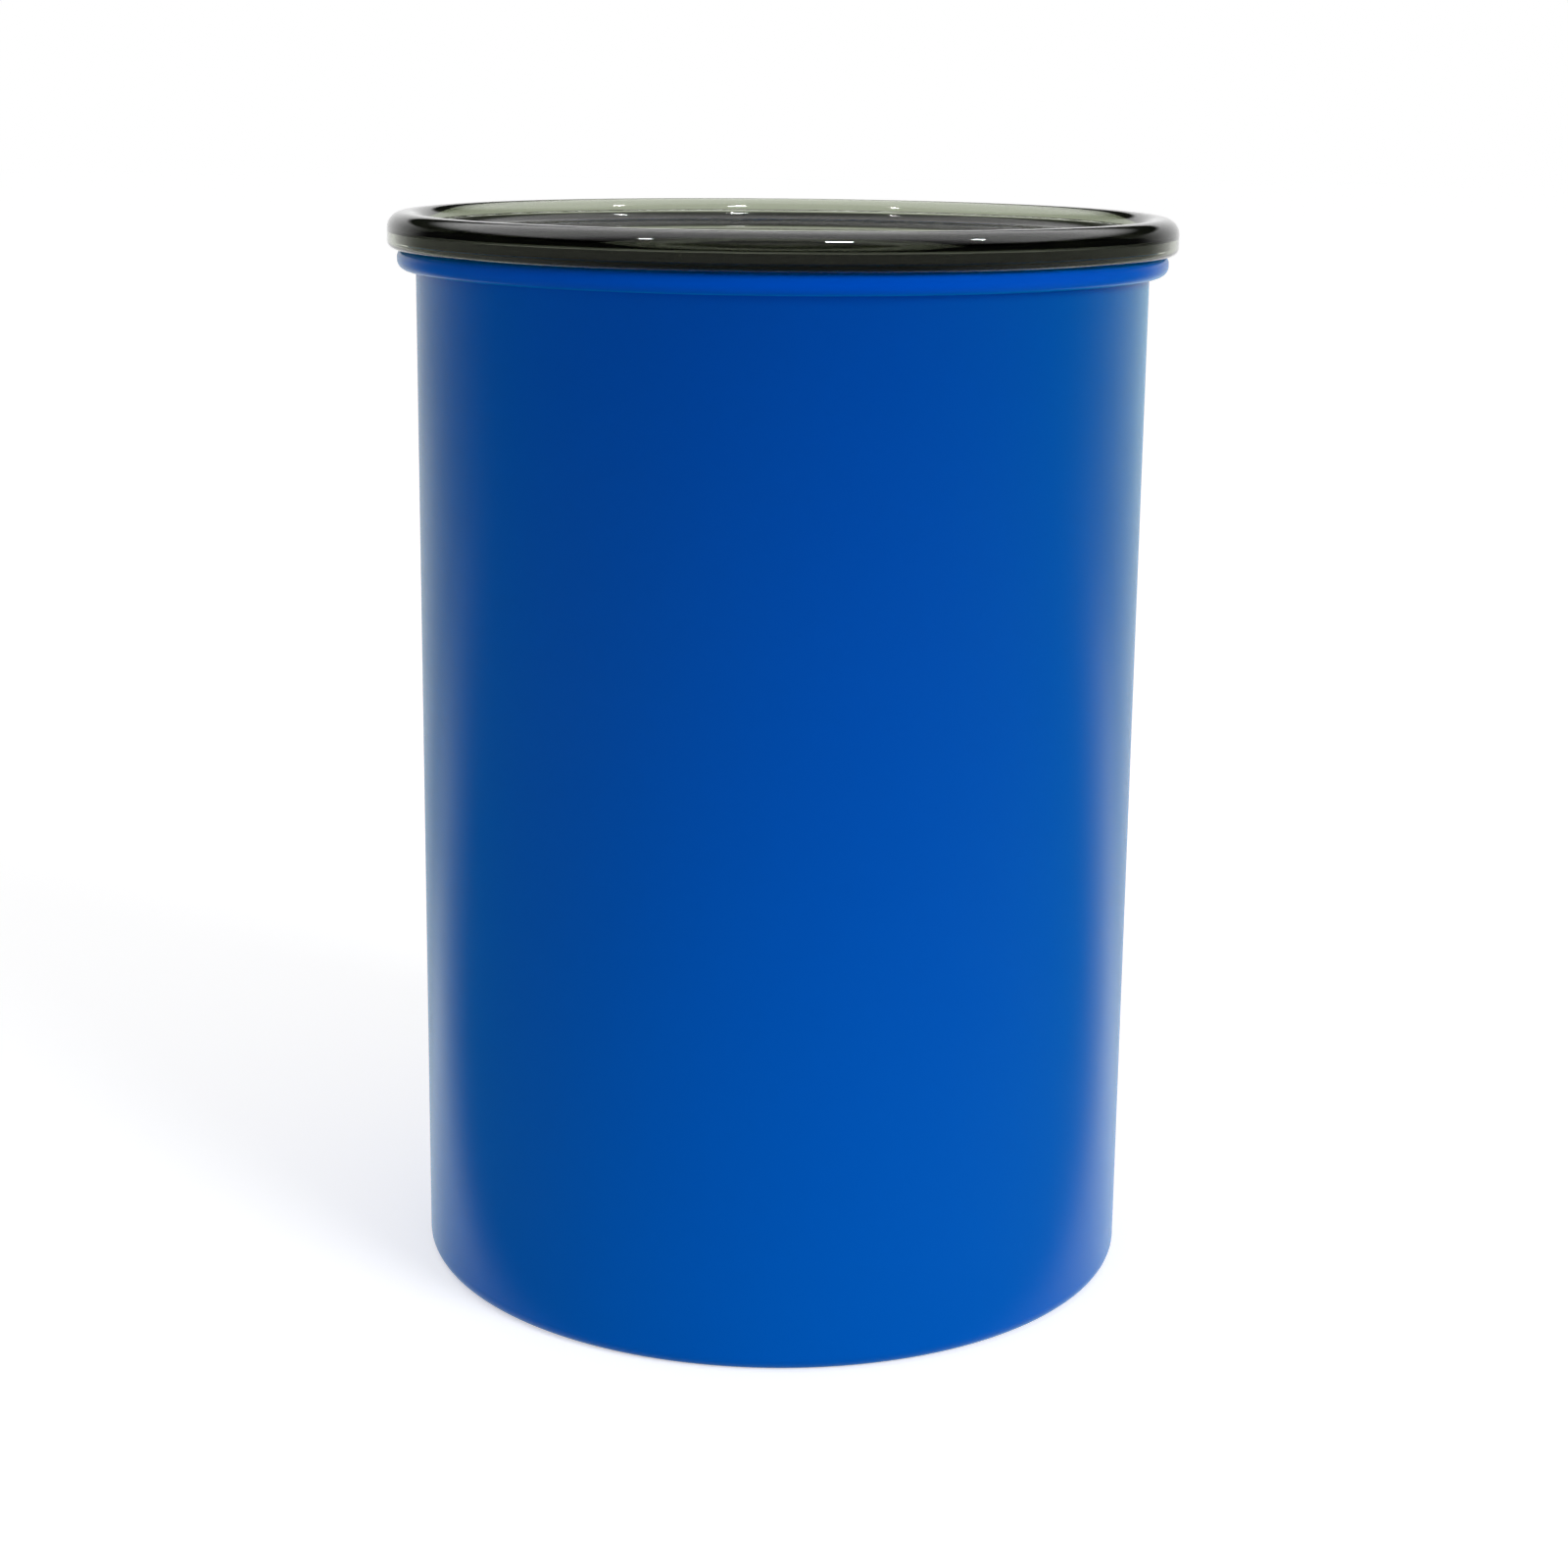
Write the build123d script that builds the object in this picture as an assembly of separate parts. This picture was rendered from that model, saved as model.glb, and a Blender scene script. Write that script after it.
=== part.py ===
from build123d import *
import os
from math import hypot

# Coffee canister: a drawn steel can, a clear outer lid, and an inner lid that slides down onto the beans
# and vents through a valve worked by its folding handle. Millimetres, +Z up, origin at the base's centre.
# The front is seen from -Y, with +X to the right. The inner lid's heights are measured from plate_base, the
# underside of its upper plate.

# Fits
overrun = 1.0
snug_gap = 0.02
running_gap = 0.05
screw_hole_gap = 0.2

# Can, one drawn cup with its top edge rolled outward
can_inner_radius = 60.0
can_height = 173.8
sheet = 0.6
base_corner_radius = 2.0
base_ring_width = 12.0
base_panel_slope = 2.0
base_panel_rise = 1.2
rim_width = 3.65
rim_height = 4.6
rim_tuck_gap = 0.25

# Outer lid, moulded clear
skirt_wall = 1.3
crown_thickness = 3.1
recess_depth = 4.9
floor_thickness = 1.8
skirt_gap = 0.25
skirt_drop = 1.6
plug_gap = 0.3
plug_depth = 5.8
plug_wall = 1.8
recess_edge_inset = 0.2
recess_draft = 1.8
crown_outer_round = 2.6
crown_inner_round = 1.4
skirt_round = 1.1
recess_round = 1.0
plug_round = 0.5

# Seal ring in the outer lid's channel
seal_height = 1.6
seal_rest_gap = 0.1
seal_round = 0.3

# Inner lid plates
plate_wall_gap = 2.0
plate_thickness = 2.4
plate_rim_wall = 2.0
plate_rim_height = 9.0
plate_edge_round = 0.8
plate_step_margin = 2.5
plate_step_depth = 0.5
lower_plate_thickness = 2.0
lower_plate_inset = 1.5
upright_headroom = 5.0

# Wiper gasket, clamped between the plates
gasket_thickness = 1.6
gasket_overlap = 8.0
gasket_wall_gap = 0.3
gasket_seat_ring = 1.6
lip_height = 3.4
lip_gap = 0.3
lip_thickness = 0.8
lip_heel = 1.1
lip_land = 2.2
lip_tip = 0.5

# Screws that clamp the plates
plate_screw_count = 6
plate_screw_inset = 6.0
plate_screw_radius = 1.4
plate_screw_head_radius = 2.8
plate_screw_head_height = 1.4
plate_screw_boss_radius = 3.6
plate_screw_boss_height = 2.8
plate_screw_end_wall = 0.5

# Valve barrel with its seat
barrel_radius = 12.0
barrel_wall = 1.4
barrel_drop = 11.2
barrel_rise = 5.6
barrel_flange_width = 3.5
barrel_flange_thickness = 1.8
barrel_round = 0.4
seat_drop = 3.0
seat_thickness = 2.0
guide_radius = 2.9
guide_rise = 2.0
port_count = 6
port_radius = 1.7
housing_seal_thickness = 1.0
nut_width = 3.0
nut_height = 3.0
nut_notch_count = 6
nut_notch_width = 3.0
nut_notch_depth = 1.2

# Mesh that keeps grounds out of the valve
mesh_thickness = 0.4
mesh_ledge = 0.4
mesh_hole_radius = 0.7
mesh_ring_count = 4
mesh_holes_per_ring = 6
retainer_height = 1.6
retainer_width = 1.6

# Valve poppet
valve_travel = 2.0
stem_radius = 2.0
stem_head_radius = 4.6
stem_head_thickness = 1.5
stem_tail = 1.0
disc_side_gap = 0.8
disc_thickness = 1.4
disc_seat_gap = 0.1
disc_round = 0.3
clip_radius = 3.6
clip_thickness = 0.8
clip_groove_depth = 0.45
clip_mouth = 2.4
spring_wire_radius = 0.25
spring_turns = 4
spring_length = 5.0
spring_guide_gap = 0.25
spring_end_gap = 0.05

# Handle, axle and cam
cam_radius = 5.0
cam_width = 7.0
cam_gap = 0.15
axle_radius = 2.0
axle_flat_depth = 0.5
ear_cover_gap = 0.7
ear_thickness = 4.0
ear_radius = 4.5
leg_side_gap = 0.3
leg_width = 6.0
leg_boss_radius = 4.8
leg_end_wall = 1.2
bail_rim_gap = 15.0
bail_thickness = 7.0
grip_depth = 8.0
bail_corner_radius = 12.0
bail_inner_corner_radius = 6.0
bail_edge_round = 1.6

# Vented cap over the cam
cover_nut_gap = 0.4
cover_wall = 1.6
cover_cam_gap = 0.7
cover_round = 4.0
cover_flange_width = 5.5
cover_flange_thickness = 1.6
cover_axle_gap = 0.3
vent_count = 10
vent_length = 5.0
vent_width = 1.6
cover_screw_count = 4
cover_screw_radius = 1.1
cover_screw_head_radius = 2.2
cover_screw_head_height = 1.4
cover_screw_boss_radius = 2.6
cover_screw_end_wall = 0.4
screw_slot_depth = 0.6
screw_slot_width = 0.7

# Places worked out from the sizes above
can_outer_radius = can_inner_radius + sheet
base_panel_edge = can_inner_radius - base_ring_width
base_panel_radius = base_panel_edge - base_panel_slope
rim_radius = can_inner_radius + rim_width
seal_base = can_height + seal_rest_gap
channel_top = can_height + seal_height
lid_top = channel_top + crown_thickness
floor_top = lid_top - recess_depth
floor_base = floor_top - floor_thickness
recess_crown_radius = can_inner_radius - recess_edge_inset
recess_floor_radius = recess_crown_radius - recess_draft
plug_radius = can_inner_radius - plug_gap
plug_base = can_height - plug_depth
skirt_inner_radius = rim_radius + skirt_gap
lid_radius = skirt_inner_radius + skirt_wall
skirt_base = can_height - skirt_drop

plate_radius = can_inner_radius - plate_wall_gap
plate_rim_inner_radius = plate_radius - plate_rim_wall
lower_plate_radius = plate_radius - lower_plate_inset
gasket_inner_radius = plate_radius - gasket_overlap
gasket_radius = can_inner_radius - gasket_wall_gap
plate_screw_circle = gasket_inner_radius - plate_screw_inset
bail_reach = plate_rim_inner_radius - bail_rim_gap

seat_top_height = seat_thickness - seat_drop
stem_head_base = seat_top_height + spring_length
stem_top = stem_head_base + stem_head_thickness
cam_throw = valve_travel / 2
cam_reach = cam_radius + hypot(cam_throw, cam_throw)
pivot_height = stem_top + cam_gap + cam_radius - cam_throw
plate_base = floor_base - upright_headroom - bail_reach - pivot_height

plate_top = plate_base + plate_thickness
lower_plate_top = plate_base - gasket_thickness
lower_plate_base = lower_plate_top - lower_plate_thickness

barrel_base = plate_base - barrel_drop
barrel_top = plate_base + barrel_rise
barrel_inner_radius = barrel_radius - barrel_wall
barrel_hole_radius = barrel_radius + screw_hole_gap
barrel_flange_radius = barrel_radius + barrel_flange_width
seat_base = plate_base - seat_drop
seat_top = plate_base + seat_top_height
port_circle = (guide_radius + barrel_inner_radius) / 2
housing_seal_base = lower_plate_base - housing_seal_thickness
nut_radius = barrel_radius + nut_width
mesh_base = barrel_base + retainer_height
mesh_radius = barrel_inner_radius + mesh_ledge

disc_radius = barrel_inner_radius - disc_side_gap
disc_top = seat_base - disc_seat_gap
disc_base = disc_top - disc_thickness
clip_base = disc_base - clip_thickness
stem_end = clip_base - stem_tail

pivot_z = plate_base + pivot_height
cover_inner_radius = nut_radius + cover_nut_gap
cover_radius = cover_inner_radius + cover_wall
cover_flange_radius = cover_radius + cover_flange_width
cover_top = pivot_z + cam_reach + cover_cam_gap + cover_wall
cover_screw_circle = (cover_radius + cover_flange_radius) / 2
vent_circle = cover_radius / 2

ear_inner = cover_flange_radius + ear_cover_gap
ear_outer = ear_inner + ear_thickness
leg_inner = ear_outer + leg_side_gap
leg_outer = leg_inner + leg_width
axle_end = leg_outer - leg_end_wall
plate_step_radius = leg_inner + plate_step_margin
boss_top = plate_top + plate_screw_boss_height


def turned(points, rounds=()):
    """Revolve a closed outline of (radius, height) points, its named corners rounded first."""
    section = make_face(Polyline(*points, close=True))
    for corner, radius in rounds:
        section = fillet(section.vertices().sort_by_distance(corner)[0], radius)
    return revolve(Plane.XZ * section, Axis.Z)


def ring(inner, outer, base, top):
    """Flat ring between two radii and two heights."""
    return turned([(inner, base), (outer, base), (outer, top), (inner, top)])


def post(radius, base, top):
    """Upright round bar on the Z axis."""
    return Pos(0, 0, base) * Cylinder(radius, top - base, align=(Align.CENTER, Align.CENTER, Align.MIN))


def cross_bar(radius, left, right):
    """Round bar along X through the handle's pivot."""
    middle = Pos((left + right) / 2, 0, pivot_z)
    return middle * Rot(0, 90, 0) * Cylinder(radius, right - left)


def at_places(piece, places):
    """Copies of a piece at each of the places, kept as one group of separate solids."""
    return Compound([place * piece for place in places])


def plate_screw_places():
    return PolarLocations(plate_screw_circle, plate_screw_count, start_angle=30)


def cover_screw_places():
    return PolarLocations(cover_screw_circle, cover_screw_count, start_angle=45)


def canister_shell():
    rim_middle = can_height - rim_height / 2
    outer_corner = (can_outer_radius, 0)
    inner_corner = (can_inner_radius, sheet)
    cup = turned(
        [
            (0, base_panel_rise),
            (base_panel_radius, base_panel_rise),
            (base_panel_edge, 0),
            outer_corner,
            (can_outer_radius, rim_middle),
            (can_inner_radius, rim_middle),
            inner_corner,
            (base_panel_edge, sheet),
            (base_panel_radius, base_panel_rise + sheet),
            (0, base_panel_rise + sheet),
        ],
        [(outer_corner, base_corner_radius), (inner_corner, base_corner_radius - sheet)],
    )
    rim_place = Pos(can_inner_radius + rim_width / 2, rim_middle)
    roll = SlotOverall(rim_height, rim_width, rotation=90)
    hollow = SlotOverall(rim_height - 2 * sheet, rim_width - 2 * sheet, rotation=90)
    tuck = Pos(can_outer_radius, can_height - rim_height - overrun) * Rectangle(
        rim_tuck_gap, overrun + rim_height / 2, align=(Align.MIN, Align.MIN)
    )
    rolled_rim = revolve(Plane.XZ * (rim_place * (roll - hollow) - tuck), Axis.Z)
    return cup + rolled_rim


def lid_cover():
    crown_edge = (lid_radius, lid_top)
    recess_edge = (recess_crown_radius, lid_top)
    recess_foot = (recess_floor_radius, floor_top)
    skirt_edge = (lid_radius, skirt_base)
    plug_inner_radius = plug_radius - plug_wall
    plug_outer_foot = (plug_radius, plug_base)
    plug_inner_foot = (plug_inner_radius, plug_base)
    plug_root = (plug_inner_radius, floor_base)
    return turned(
        [
            (0, floor_top),
            recess_foot,
            recess_edge,
            crown_edge,
            skirt_edge,
            (skirt_inner_radius, skirt_base),
            (skirt_inner_radius, channel_top),
            (plug_radius, channel_top),
            plug_outer_foot,
            plug_inner_foot,
            plug_root,
            (0, floor_base),
        ],
        [
            (crown_edge, crown_outer_round),
            (recess_edge, crown_inner_round),
            (recess_foot, recess_round),
            (skirt_edge, skirt_round),
            (plug_outer_foot, plug_round),
            (plug_inner_foot, plug_round),
            (plug_root, plug_round),
        ],
    )


def lid_seal_ring():
    inner = plug_radius + running_gap
    outer = skirt_inner_radius - running_gap
    feet = [(inner, seal_base), (outer, seal_base)]
    return turned([*feet, (outer, channel_top), (inner, channel_top)], [(foot, seal_round) for foot in feet])


def plunger_plate():
    rim_top = plate_base + plate_rim_height
    rim_edge = (plate_radius, rim_top)
    rim_root = (plate_rim_inner_radius, plate_top)
    step_height = plate_top + plate_step_depth
    dish = turned(
        [
            (barrel_hole_radius, plate_base),
            (plate_radius, plate_base),
            rim_edge,
            (plate_rim_inner_radius, rim_top),
            rim_root,
            (plate_step_radius, plate_top),
            (plate_step_radius, step_height),
            (cover_flange_radius + snug_gap, step_height),
            (cover_flange_radius + snug_gap, plate_top),
            (barrel_hole_radius, plate_top),
        ],
        [(rim_edge, plate_edge_round), (rim_root, plate_edge_round)],
    )
    boss = post(plate_screw_boss_radius, plate_base, boss_top)
    screw_hole = post(plate_screw_radius + snug_gap, plate_base - overrun, boss_top - plate_screw_end_wall)
    for place in plate_screw_places():
        dish = dish + place * boss - place * screw_hole
    foot = post(cover_screw_boss_radius, lower_plate_top, plate_base)
    small_hole = post(
        cover_screw_radius + snug_gap, lower_plate_top + cover_screw_end_wall, step_height + overrun
    )
    for place in cover_screw_places():
        dish = dish + place * foot - place * small_hole
    for side in (-1, 1):
        dish += ear(side)
    return dish - cross_bar(axle_radius + running_gap, -ear_outer - overrun, ear_outer + overrun)


def ear(side):
    """Upright lug with a round head that carries one end of the axle."""
    middle = side * (ear_inner + ear_outer) / 2
    outline = Circle(ear_radius) + Rectangle(
        2 * ear_radius, pivot_z - plate_base, align=(Align.CENTER, Align.MAX)
    )
    plane = Plane(origin=(middle, 0, pivot_z), x_dir=(0, 1, 0), z_dir=(1, 0, 0))
    return extrude(plane * outline, ear_thickness / 2, both=True)


def plunger_lower_plate():
    hub_ring_radius = barrel_flange_radius + lower_plate_thickness / 2
    seat_ring_radius = gasket_inner_radius - screw_hole_gap
    disc = ring(barrel_hole_radius, lower_plate_radius, lower_plate_base, lower_plate_top)
    disc += ring(barrel_hole_radius, hub_ring_radius, lower_plate_base, plate_base)
    disc += ring(seat_ring_radius - gasket_seat_ring, seat_ring_radius, lower_plate_base, plate_base)
    spacer = post(plate_screw_boss_radius, lower_plate_base, plate_base)
    hole = post(plate_screw_radius + screw_hole_gap, lower_plate_base - overrun, plate_base + overrun)
    for place in plate_screw_places():
        disc = disc + place * spacer - place * hole
    return disc


def wiper_gasket():
    lip_inner = plate_radius + lip_gap
    return turned(
        [
            (gasket_inner_radius, lower_plate_top),
            (gasket_radius - lip_heel, lower_plate_top),
            (gasket_radius, lower_plate_top + lip_land),
            (gasket_radius, plate_base + lip_height - lip_tip),
            (gasket_radius - lip_tip, plate_base + lip_height),
            (gasket_radius - lip_thickness, plate_base + lip_height - lip_tip),
            (lip_inner, plate_base),
            (gasket_inner_radius, plate_base),
        ]
    )


def driven_screw(radius, head_radius, head_height, length):
    """Screw along +Z with its head below zero and a driver slot across the head."""
    shank = post(radius, 0, length)
    head = post(head_radius, -head_height, 0)
    rim = head.edges().filter_by(GeomType.CIRCLE).sort_by(Axis.Z)[0]
    head = fillet(rim, head_height / 2)
    slot = Pos(0, 0, -head_height) * Box(2 * head_radius + overrun, screw_slot_width, 2 * screw_slot_depth)
    return shank + head - slot


def plate_screws():
    length = boss_top - plate_screw_end_wall - screw_hole_gap - lower_plate_base
    screw = driven_screw(plate_screw_radius, plate_screw_head_radius, plate_screw_head_height, length)
    return at_places(Pos(0, 0, lower_plate_base) * screw, plate_screw_places())


def cover_screws():
    seat = plate_top + cover_flange_thickness
    length = seat - lower_plate_top - cover_screw_end_wall - screw_hole_gap
    screw = driven_screw(cover_screw_radius, cover_screw_head_radius, cover_screw_head_height, length)
    return at_places(Pos(0, 0, seat) * Rot(180, 0, 0) * screw, cover_screw_places())


def valve_housing():
    bore = stem_radius + running_gap
    foot = (barrel_radius, barrel_base)
    body = turned(
        [
            (mesh_radius + running_gap, barrel_base),
            foot,
            (barrel_radius, barrel_top),
            (barrel_inner_radius, barrel_top),
            (barrel_inner_radius, seat_top),
            (guide_radius, seat_top),
            (guide_radius, seat_top + guide_rise),
            (bore, seat_top + guide_rise),
            (bore, seat_base),
            (barrel_inner_radius, seat_base),
            (barrel_inner_radius, mesh_base + mesh_thickness),
            (mesh_radius + running_gap, mesh_base + mesh_thickness),
        ],
        [(foot, barrel_round)],
    )
    flange_base = housing_seal_base - barrel_flange_thickness
    body += ring(barrel_inner_radius + running_gap, barrel_flange_radius, flange_base, housing_seal_base)
    port = post(port_radius, seat_base - overrun, seat_top + overrun)
    for place in PolarLocations(port_circle, port_count):
        body -= place * port
    return body


def housing_nut():
    nut = ring(barrel_radius + snug_gap, nut_radius, plate_top, plate_top + nut_height)
    notch = Box(2 * nut_notch_depth, nut_notch_width, nut_height)
    for place in PolarLocations(nut_radius, nut_notch_count):
        nut -= Pos(0, 0, plate_top + nut_height) * place * notch
    return nut


def housing_seal():
    return ring(barrel_radius + snug_gap, barrel_flange_radius, housing_seal_base, lower_plate_base)


def filter_mesh():
    sheet_disc = Circle(mesh_radius)
    ring_step = mesh_radius / (mesh_ring_count + 1)
    for turn in range(1, mesh_ring_count + 1):
        for place in PolarLocations(turn * ring_step, turn * mesh_holes_per_ring):
            sheet_disc -= place * Circle(mesh_hole_radius)
    return Pos(0, 0, mesh_base) * extrude(sheet_disc, mesh_thickness)


def mesh_retainer():
    return ring(mesh_radius - retainer_width, mesh_radius, barrel_base, mesh_base)


def valve_stem():
    groove_radius = stem_radius - clip_groove_depth
    head_edge = (stem_head_radius, plate_base + stem_top)
    return turned(
        [
            (0, stem_end),
            (stem_radius, stem_end),
            (stem_radius, clip_base),
            (groove_radius, clip_base),
            (groove_radius, disc_base),
            (stem_radius, disc_base),
            (stem_radius, plate_base + stem_head_base),
            (stem_head_radius, plate_base + stem_head_base),
            head_edge,
            (0, plate_base + stem_top),
        ],
        [(head_edge, disc_round)],
    )


def valve_disc():
    bore = stem_radius + running_gap
    edge = (disc_radius, disc_base)
    return turned([(bore, disc_base), edge, (disc_radius, disc_top), (bore, disc_top)], [(edge, disc_round)])


def stem_clip():
    groove_radius = stem_radius - clip_groove_depth
    clip = ring(groove_radius + snug_gap, clip_radius, clip_base, disc_base)
    mouth = Box(
        clip_radius + overrun,
        clip_mouth,
        2 * (clip_thickness + overrun),
        align=(Align.MIN, Align.CENTER, Align.CENTER),
    )
    return clip - Pos(0, 0, clip_base) * mouth


def valve_spring():
    coil_radius = guide_radius + spring_guide_gap + spring_wire_radius
    rise = spring_length - 2 * (spring_wire_radius + spring_end_gap)
    path = Helix(pitch=rise / spring_turns, height=rise, radius=coil_radius)
    wire = Plane(origin=path @ 0, z_dir=path % 0) * Circle(spring_wire_radius)
    return Pos(0, 0, seat_top + spring_wire_radius + spring_end_gap) * sweep(wire, path=path, is_frenet=True)


def hub_cover():
    cap_edge = (cover_radius, cover_top)
    cap_inner = (cover_inner_radius, cover_top - cover_wall)
    cap = turned(
        [
            (0, cover_top),
            cap_edge,
            (cover_radius, plate_top + cover_flange_thickness),
            (cover_flange_radius, plate_top + cover_flange_thickness),
            (cover_flange_radius, plate_top),
            (cover_inner_radius, plate_top),
            cap_inner,
            (0, cover_top - cover_wall),
        ],
        [(cap_edge, cover_round), (cap_inner, cover_round - cover_wall)],
    )
    slot_radius = axle_radius + cover_axle_gap
    cap -= cross_bar(slot_radius, -cover_flange_radius - overrun, cover_flange_radius + overrun)
    cap -= Pos(0, 0, plate_top - overrun) * Box(
        2 * (cover_flange_radius + overrun),
        2 * slot_radius,
        pivot_z - plate_top + overrun,
        align=(Align.CENTER, Align.CENTER, Align.MIN),
    )
    vent = extrude(SlotOverall(vent_length, vent_width), cover_wall + 2 * overrun)
    for place in PolarLocations(vent_circle, vent_count):
        cap -= Pos(0, 0, cover_top - cover_wall - overrun) * place * vent
    hole = post(cover_screw_radius + screw_hole_gap, plate_top - overrun, cover_top)
    for place in cover_screw_places():
        cap -= place * hole
    return cap


def handle_axle():
    axle = cross_bar(axle_radius, -axle_end, axle_end)
    for side in (-1, 1):
        axle -= end_flat(side, leg_inner, axle_radius - axle_flat_depth)
    return axle


def end_flat(side, start, height):
    """Block over one end of the axle whose underside makes the driving flat."""
    block = Box(
        leg_outer - start + overrun,
        2 * (axle_radius + overrun),
        2 * axle_radius,
        align=(Align.MIN, Align.CENTER, Align.MIN),
    )
    place = Pos(start, 0, pivot_z + height)
    return place * block if side > 0 else mirror(place * block, Plane.YZ)


def valve_cam():
    lobe = Pos(0, cam_throw, cam_throw) * cross_bar(cam_radius, -cam_width / 2, cam_width / 2)
    return lobe - cross_bar(axle_radius + snug_gap, -cam_width, cam_width)


def handle_bail():
    outline = Pos(0, -bail_reach) * Rectangle(2 * leg_outer, bail_reach, align=(Align.CENTER, Align.MIN))
    outline = fillet(outline.vertices().group_by(Axis.Y)[0], bail_corner_radius)
    window = Pos(0, grip_depth - bail_reach) * Rectangle(
        2 * leg_inner, bail_reach, align=(Align.CENTER, Align.MIN)
    )
    window = fillet(window.vertices().group_by(Axis.Y)[0], bail_inner_corner_radius)
    loop = extrude(Pos(0, 0, pivot_z) * (outline - window), bail_thickness / 2, both=True)
    flat_edges = loop.faces().filter_by(Axis.Z).edges()
    loop = fillet(flat_edges.filter_by(lambda edge: edge.center().Y < -leg_boss_radius), bail_edge_round)
    for side in (-1, 1):
        left, right = sorted((side * leg_inner, side * leg_outer))
        loop += cross_bar(leg_boss_radius, left, right)
    bore = cross_bar(axle_radius + snug_gap, -axle_end - snug_gap, axle_end + snug_gap)
    for side in (-1, 1):
        bore -= end_flat(side, leg_inner - overrun, axle_radius - axle_flat_depth + snug_gap)
    return loop - bore


pieces = [
    canister_shell,
    lid_cover,
    lid_seal_ring,
    plunger_plate,
    plunger_lower_plate,
    wiper_gasket,
    plate_screws,
    valve_housing,
    housing_nut,
    housing_seal,
    filter_mesh,
    mesh_retainer,
    hub_cover,
    cover_screws,
    handle_bail,
    handle_axle,
    valve_cam,
    valve_stem,
    valve_disc,
    stem_clip,
    valve_spring,
]

os.makedirs("parts", exist_ok=True)
for piece in pieces:
    export_step(piece(), f"parts/{piece.__name__}.step")

print("plate_base", round(plate_base, 3), "pivot_z", round(pivot_z, 3), "lid_top", round(lid_top, 3))
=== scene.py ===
import math

import bmesh
import bpy
from mathutils import Matrix, Vector


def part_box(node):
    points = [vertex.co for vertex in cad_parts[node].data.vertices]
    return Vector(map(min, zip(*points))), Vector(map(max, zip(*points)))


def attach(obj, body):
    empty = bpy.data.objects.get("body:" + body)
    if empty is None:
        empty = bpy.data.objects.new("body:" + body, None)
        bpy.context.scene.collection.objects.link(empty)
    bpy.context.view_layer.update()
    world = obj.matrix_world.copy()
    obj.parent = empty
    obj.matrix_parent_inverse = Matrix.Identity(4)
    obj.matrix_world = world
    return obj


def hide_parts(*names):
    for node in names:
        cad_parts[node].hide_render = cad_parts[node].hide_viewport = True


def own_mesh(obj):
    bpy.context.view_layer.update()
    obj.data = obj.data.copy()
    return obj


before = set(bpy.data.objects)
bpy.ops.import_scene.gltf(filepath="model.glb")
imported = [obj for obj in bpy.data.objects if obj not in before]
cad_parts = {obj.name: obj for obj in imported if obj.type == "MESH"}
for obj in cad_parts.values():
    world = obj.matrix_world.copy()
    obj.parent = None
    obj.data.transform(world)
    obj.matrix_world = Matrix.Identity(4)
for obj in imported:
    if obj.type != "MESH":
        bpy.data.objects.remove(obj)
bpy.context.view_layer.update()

MM = 0.001
FULL_TURN = 2 * math.pi
QUARTER_TURN = math.pi / 2

# Camera, fitted to the photograph's outlines in its 1600-pixel frame
FRAME_PIXELS = 1600
CAMERA_PLACE = (0, -469.98 * MM, 198.26 * MM)
CAMERA_PITCH = math.radians(12.408)
CAMERA_ROLL = math.radians(0.523)
CAMERA_YAW = math.radians(-0.594)
FOCAL_PIXELS = 2850.78
CENTRE_PIXEL = (764.22, 719.25)
SENSOR_WIDTH = 36

# Can
CAN_RADIUS = 60 * MM  # of the inside
SHEET = 0.6 * MM
BASE_ROUND = 2 * MM
BASE_RING = 12 * MM
BASE_SLOPE = 2 * MM
BASE_RISE = 1.2 * MM
RIM_WIDTH = 3.65 * MM
RIM_HEIGHT = 4.6 * MM
ROLL_HEIGHT = 3.25 * MM
ROLL_ROUND = 1.6 * MM
SHOULDER_ROUND = 1.2 * MM
RIM_LIP_WIDTH = 1.9 * MM
RIM_TUCK = 0.25 * MM
RIM_TUCK_DEPTH = 1.2 * MM

# Outer lid
LID_FLOOR = 1.8 * MM
RECESS_DEPTH = 3.8 * MM
RECESS_INSET = 0.2 * MM
RECESS_DRAFT = 0.8 * MM
CROWN_THICKNESS = 3.1 * MM
SKIRT_DROP = 1.1 * MM
SKIRT_GAP = 0.25 * MM
PLUG_GAP = 0.3 * MM
PLUG_WALL = 1.8 * MM
CROWN_ROUND = 2.6 * MM
CROWN_INNER_ROUND = 2.4 * MM
SKIRT_ROUND = 1.1 * MM
RECESS_ROUND = 2 * MM
PLUG_ROUND = 0.5 * MM
SMALL_ROUND = 0.2 * MM
TINY_ROUND = SMALL_ROUND / 2
CHANNEL_ROUND = 0.05 * MM
RING_PRESS = 0.03 * MM
RING_GAP = 0.05 * MM

# Inner lid
PLATE_THICKNESS = 2.4 * MM
PLATE_RADIUS = 58 * MM
PLATE_RIM_WALL = 2 * MM
PLATE_RIM_HEIGHT = 9 * MM
PLATE_ROUND = 0.8 * MM
STEP_OUTER = 30 * MM
STEP_INNER = 22.52 * MM
STEP_HEIGHT = 0.5 * MM
BARREL_HOLE = 12.2 * MM
BOSS_RADIUS = 3.6 * MM
BOSS_HEIGHT = 2.8 * MM
BOSS_ROUND = 0.5 * MM
BOSS_FOOT = 1.2 * MM
BOSS_SINK = 0.03 * MM
BOSS_AROUND = 64
EAR_INNER = 23.2 * MM
EAR_THICKNESS = 4 * MM
EAR_RADIUS = 4.5 * MM
EAR_STEPS = 64
AXLE_HOLE = 2.05 * MM
GASKET_INNER_RADIUS = 50 * MM
LIP_HEEL = 1.1 * MM
LIP_LAND = 2.2 * MM
LIP_TIP = 0.5 * MM
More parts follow.
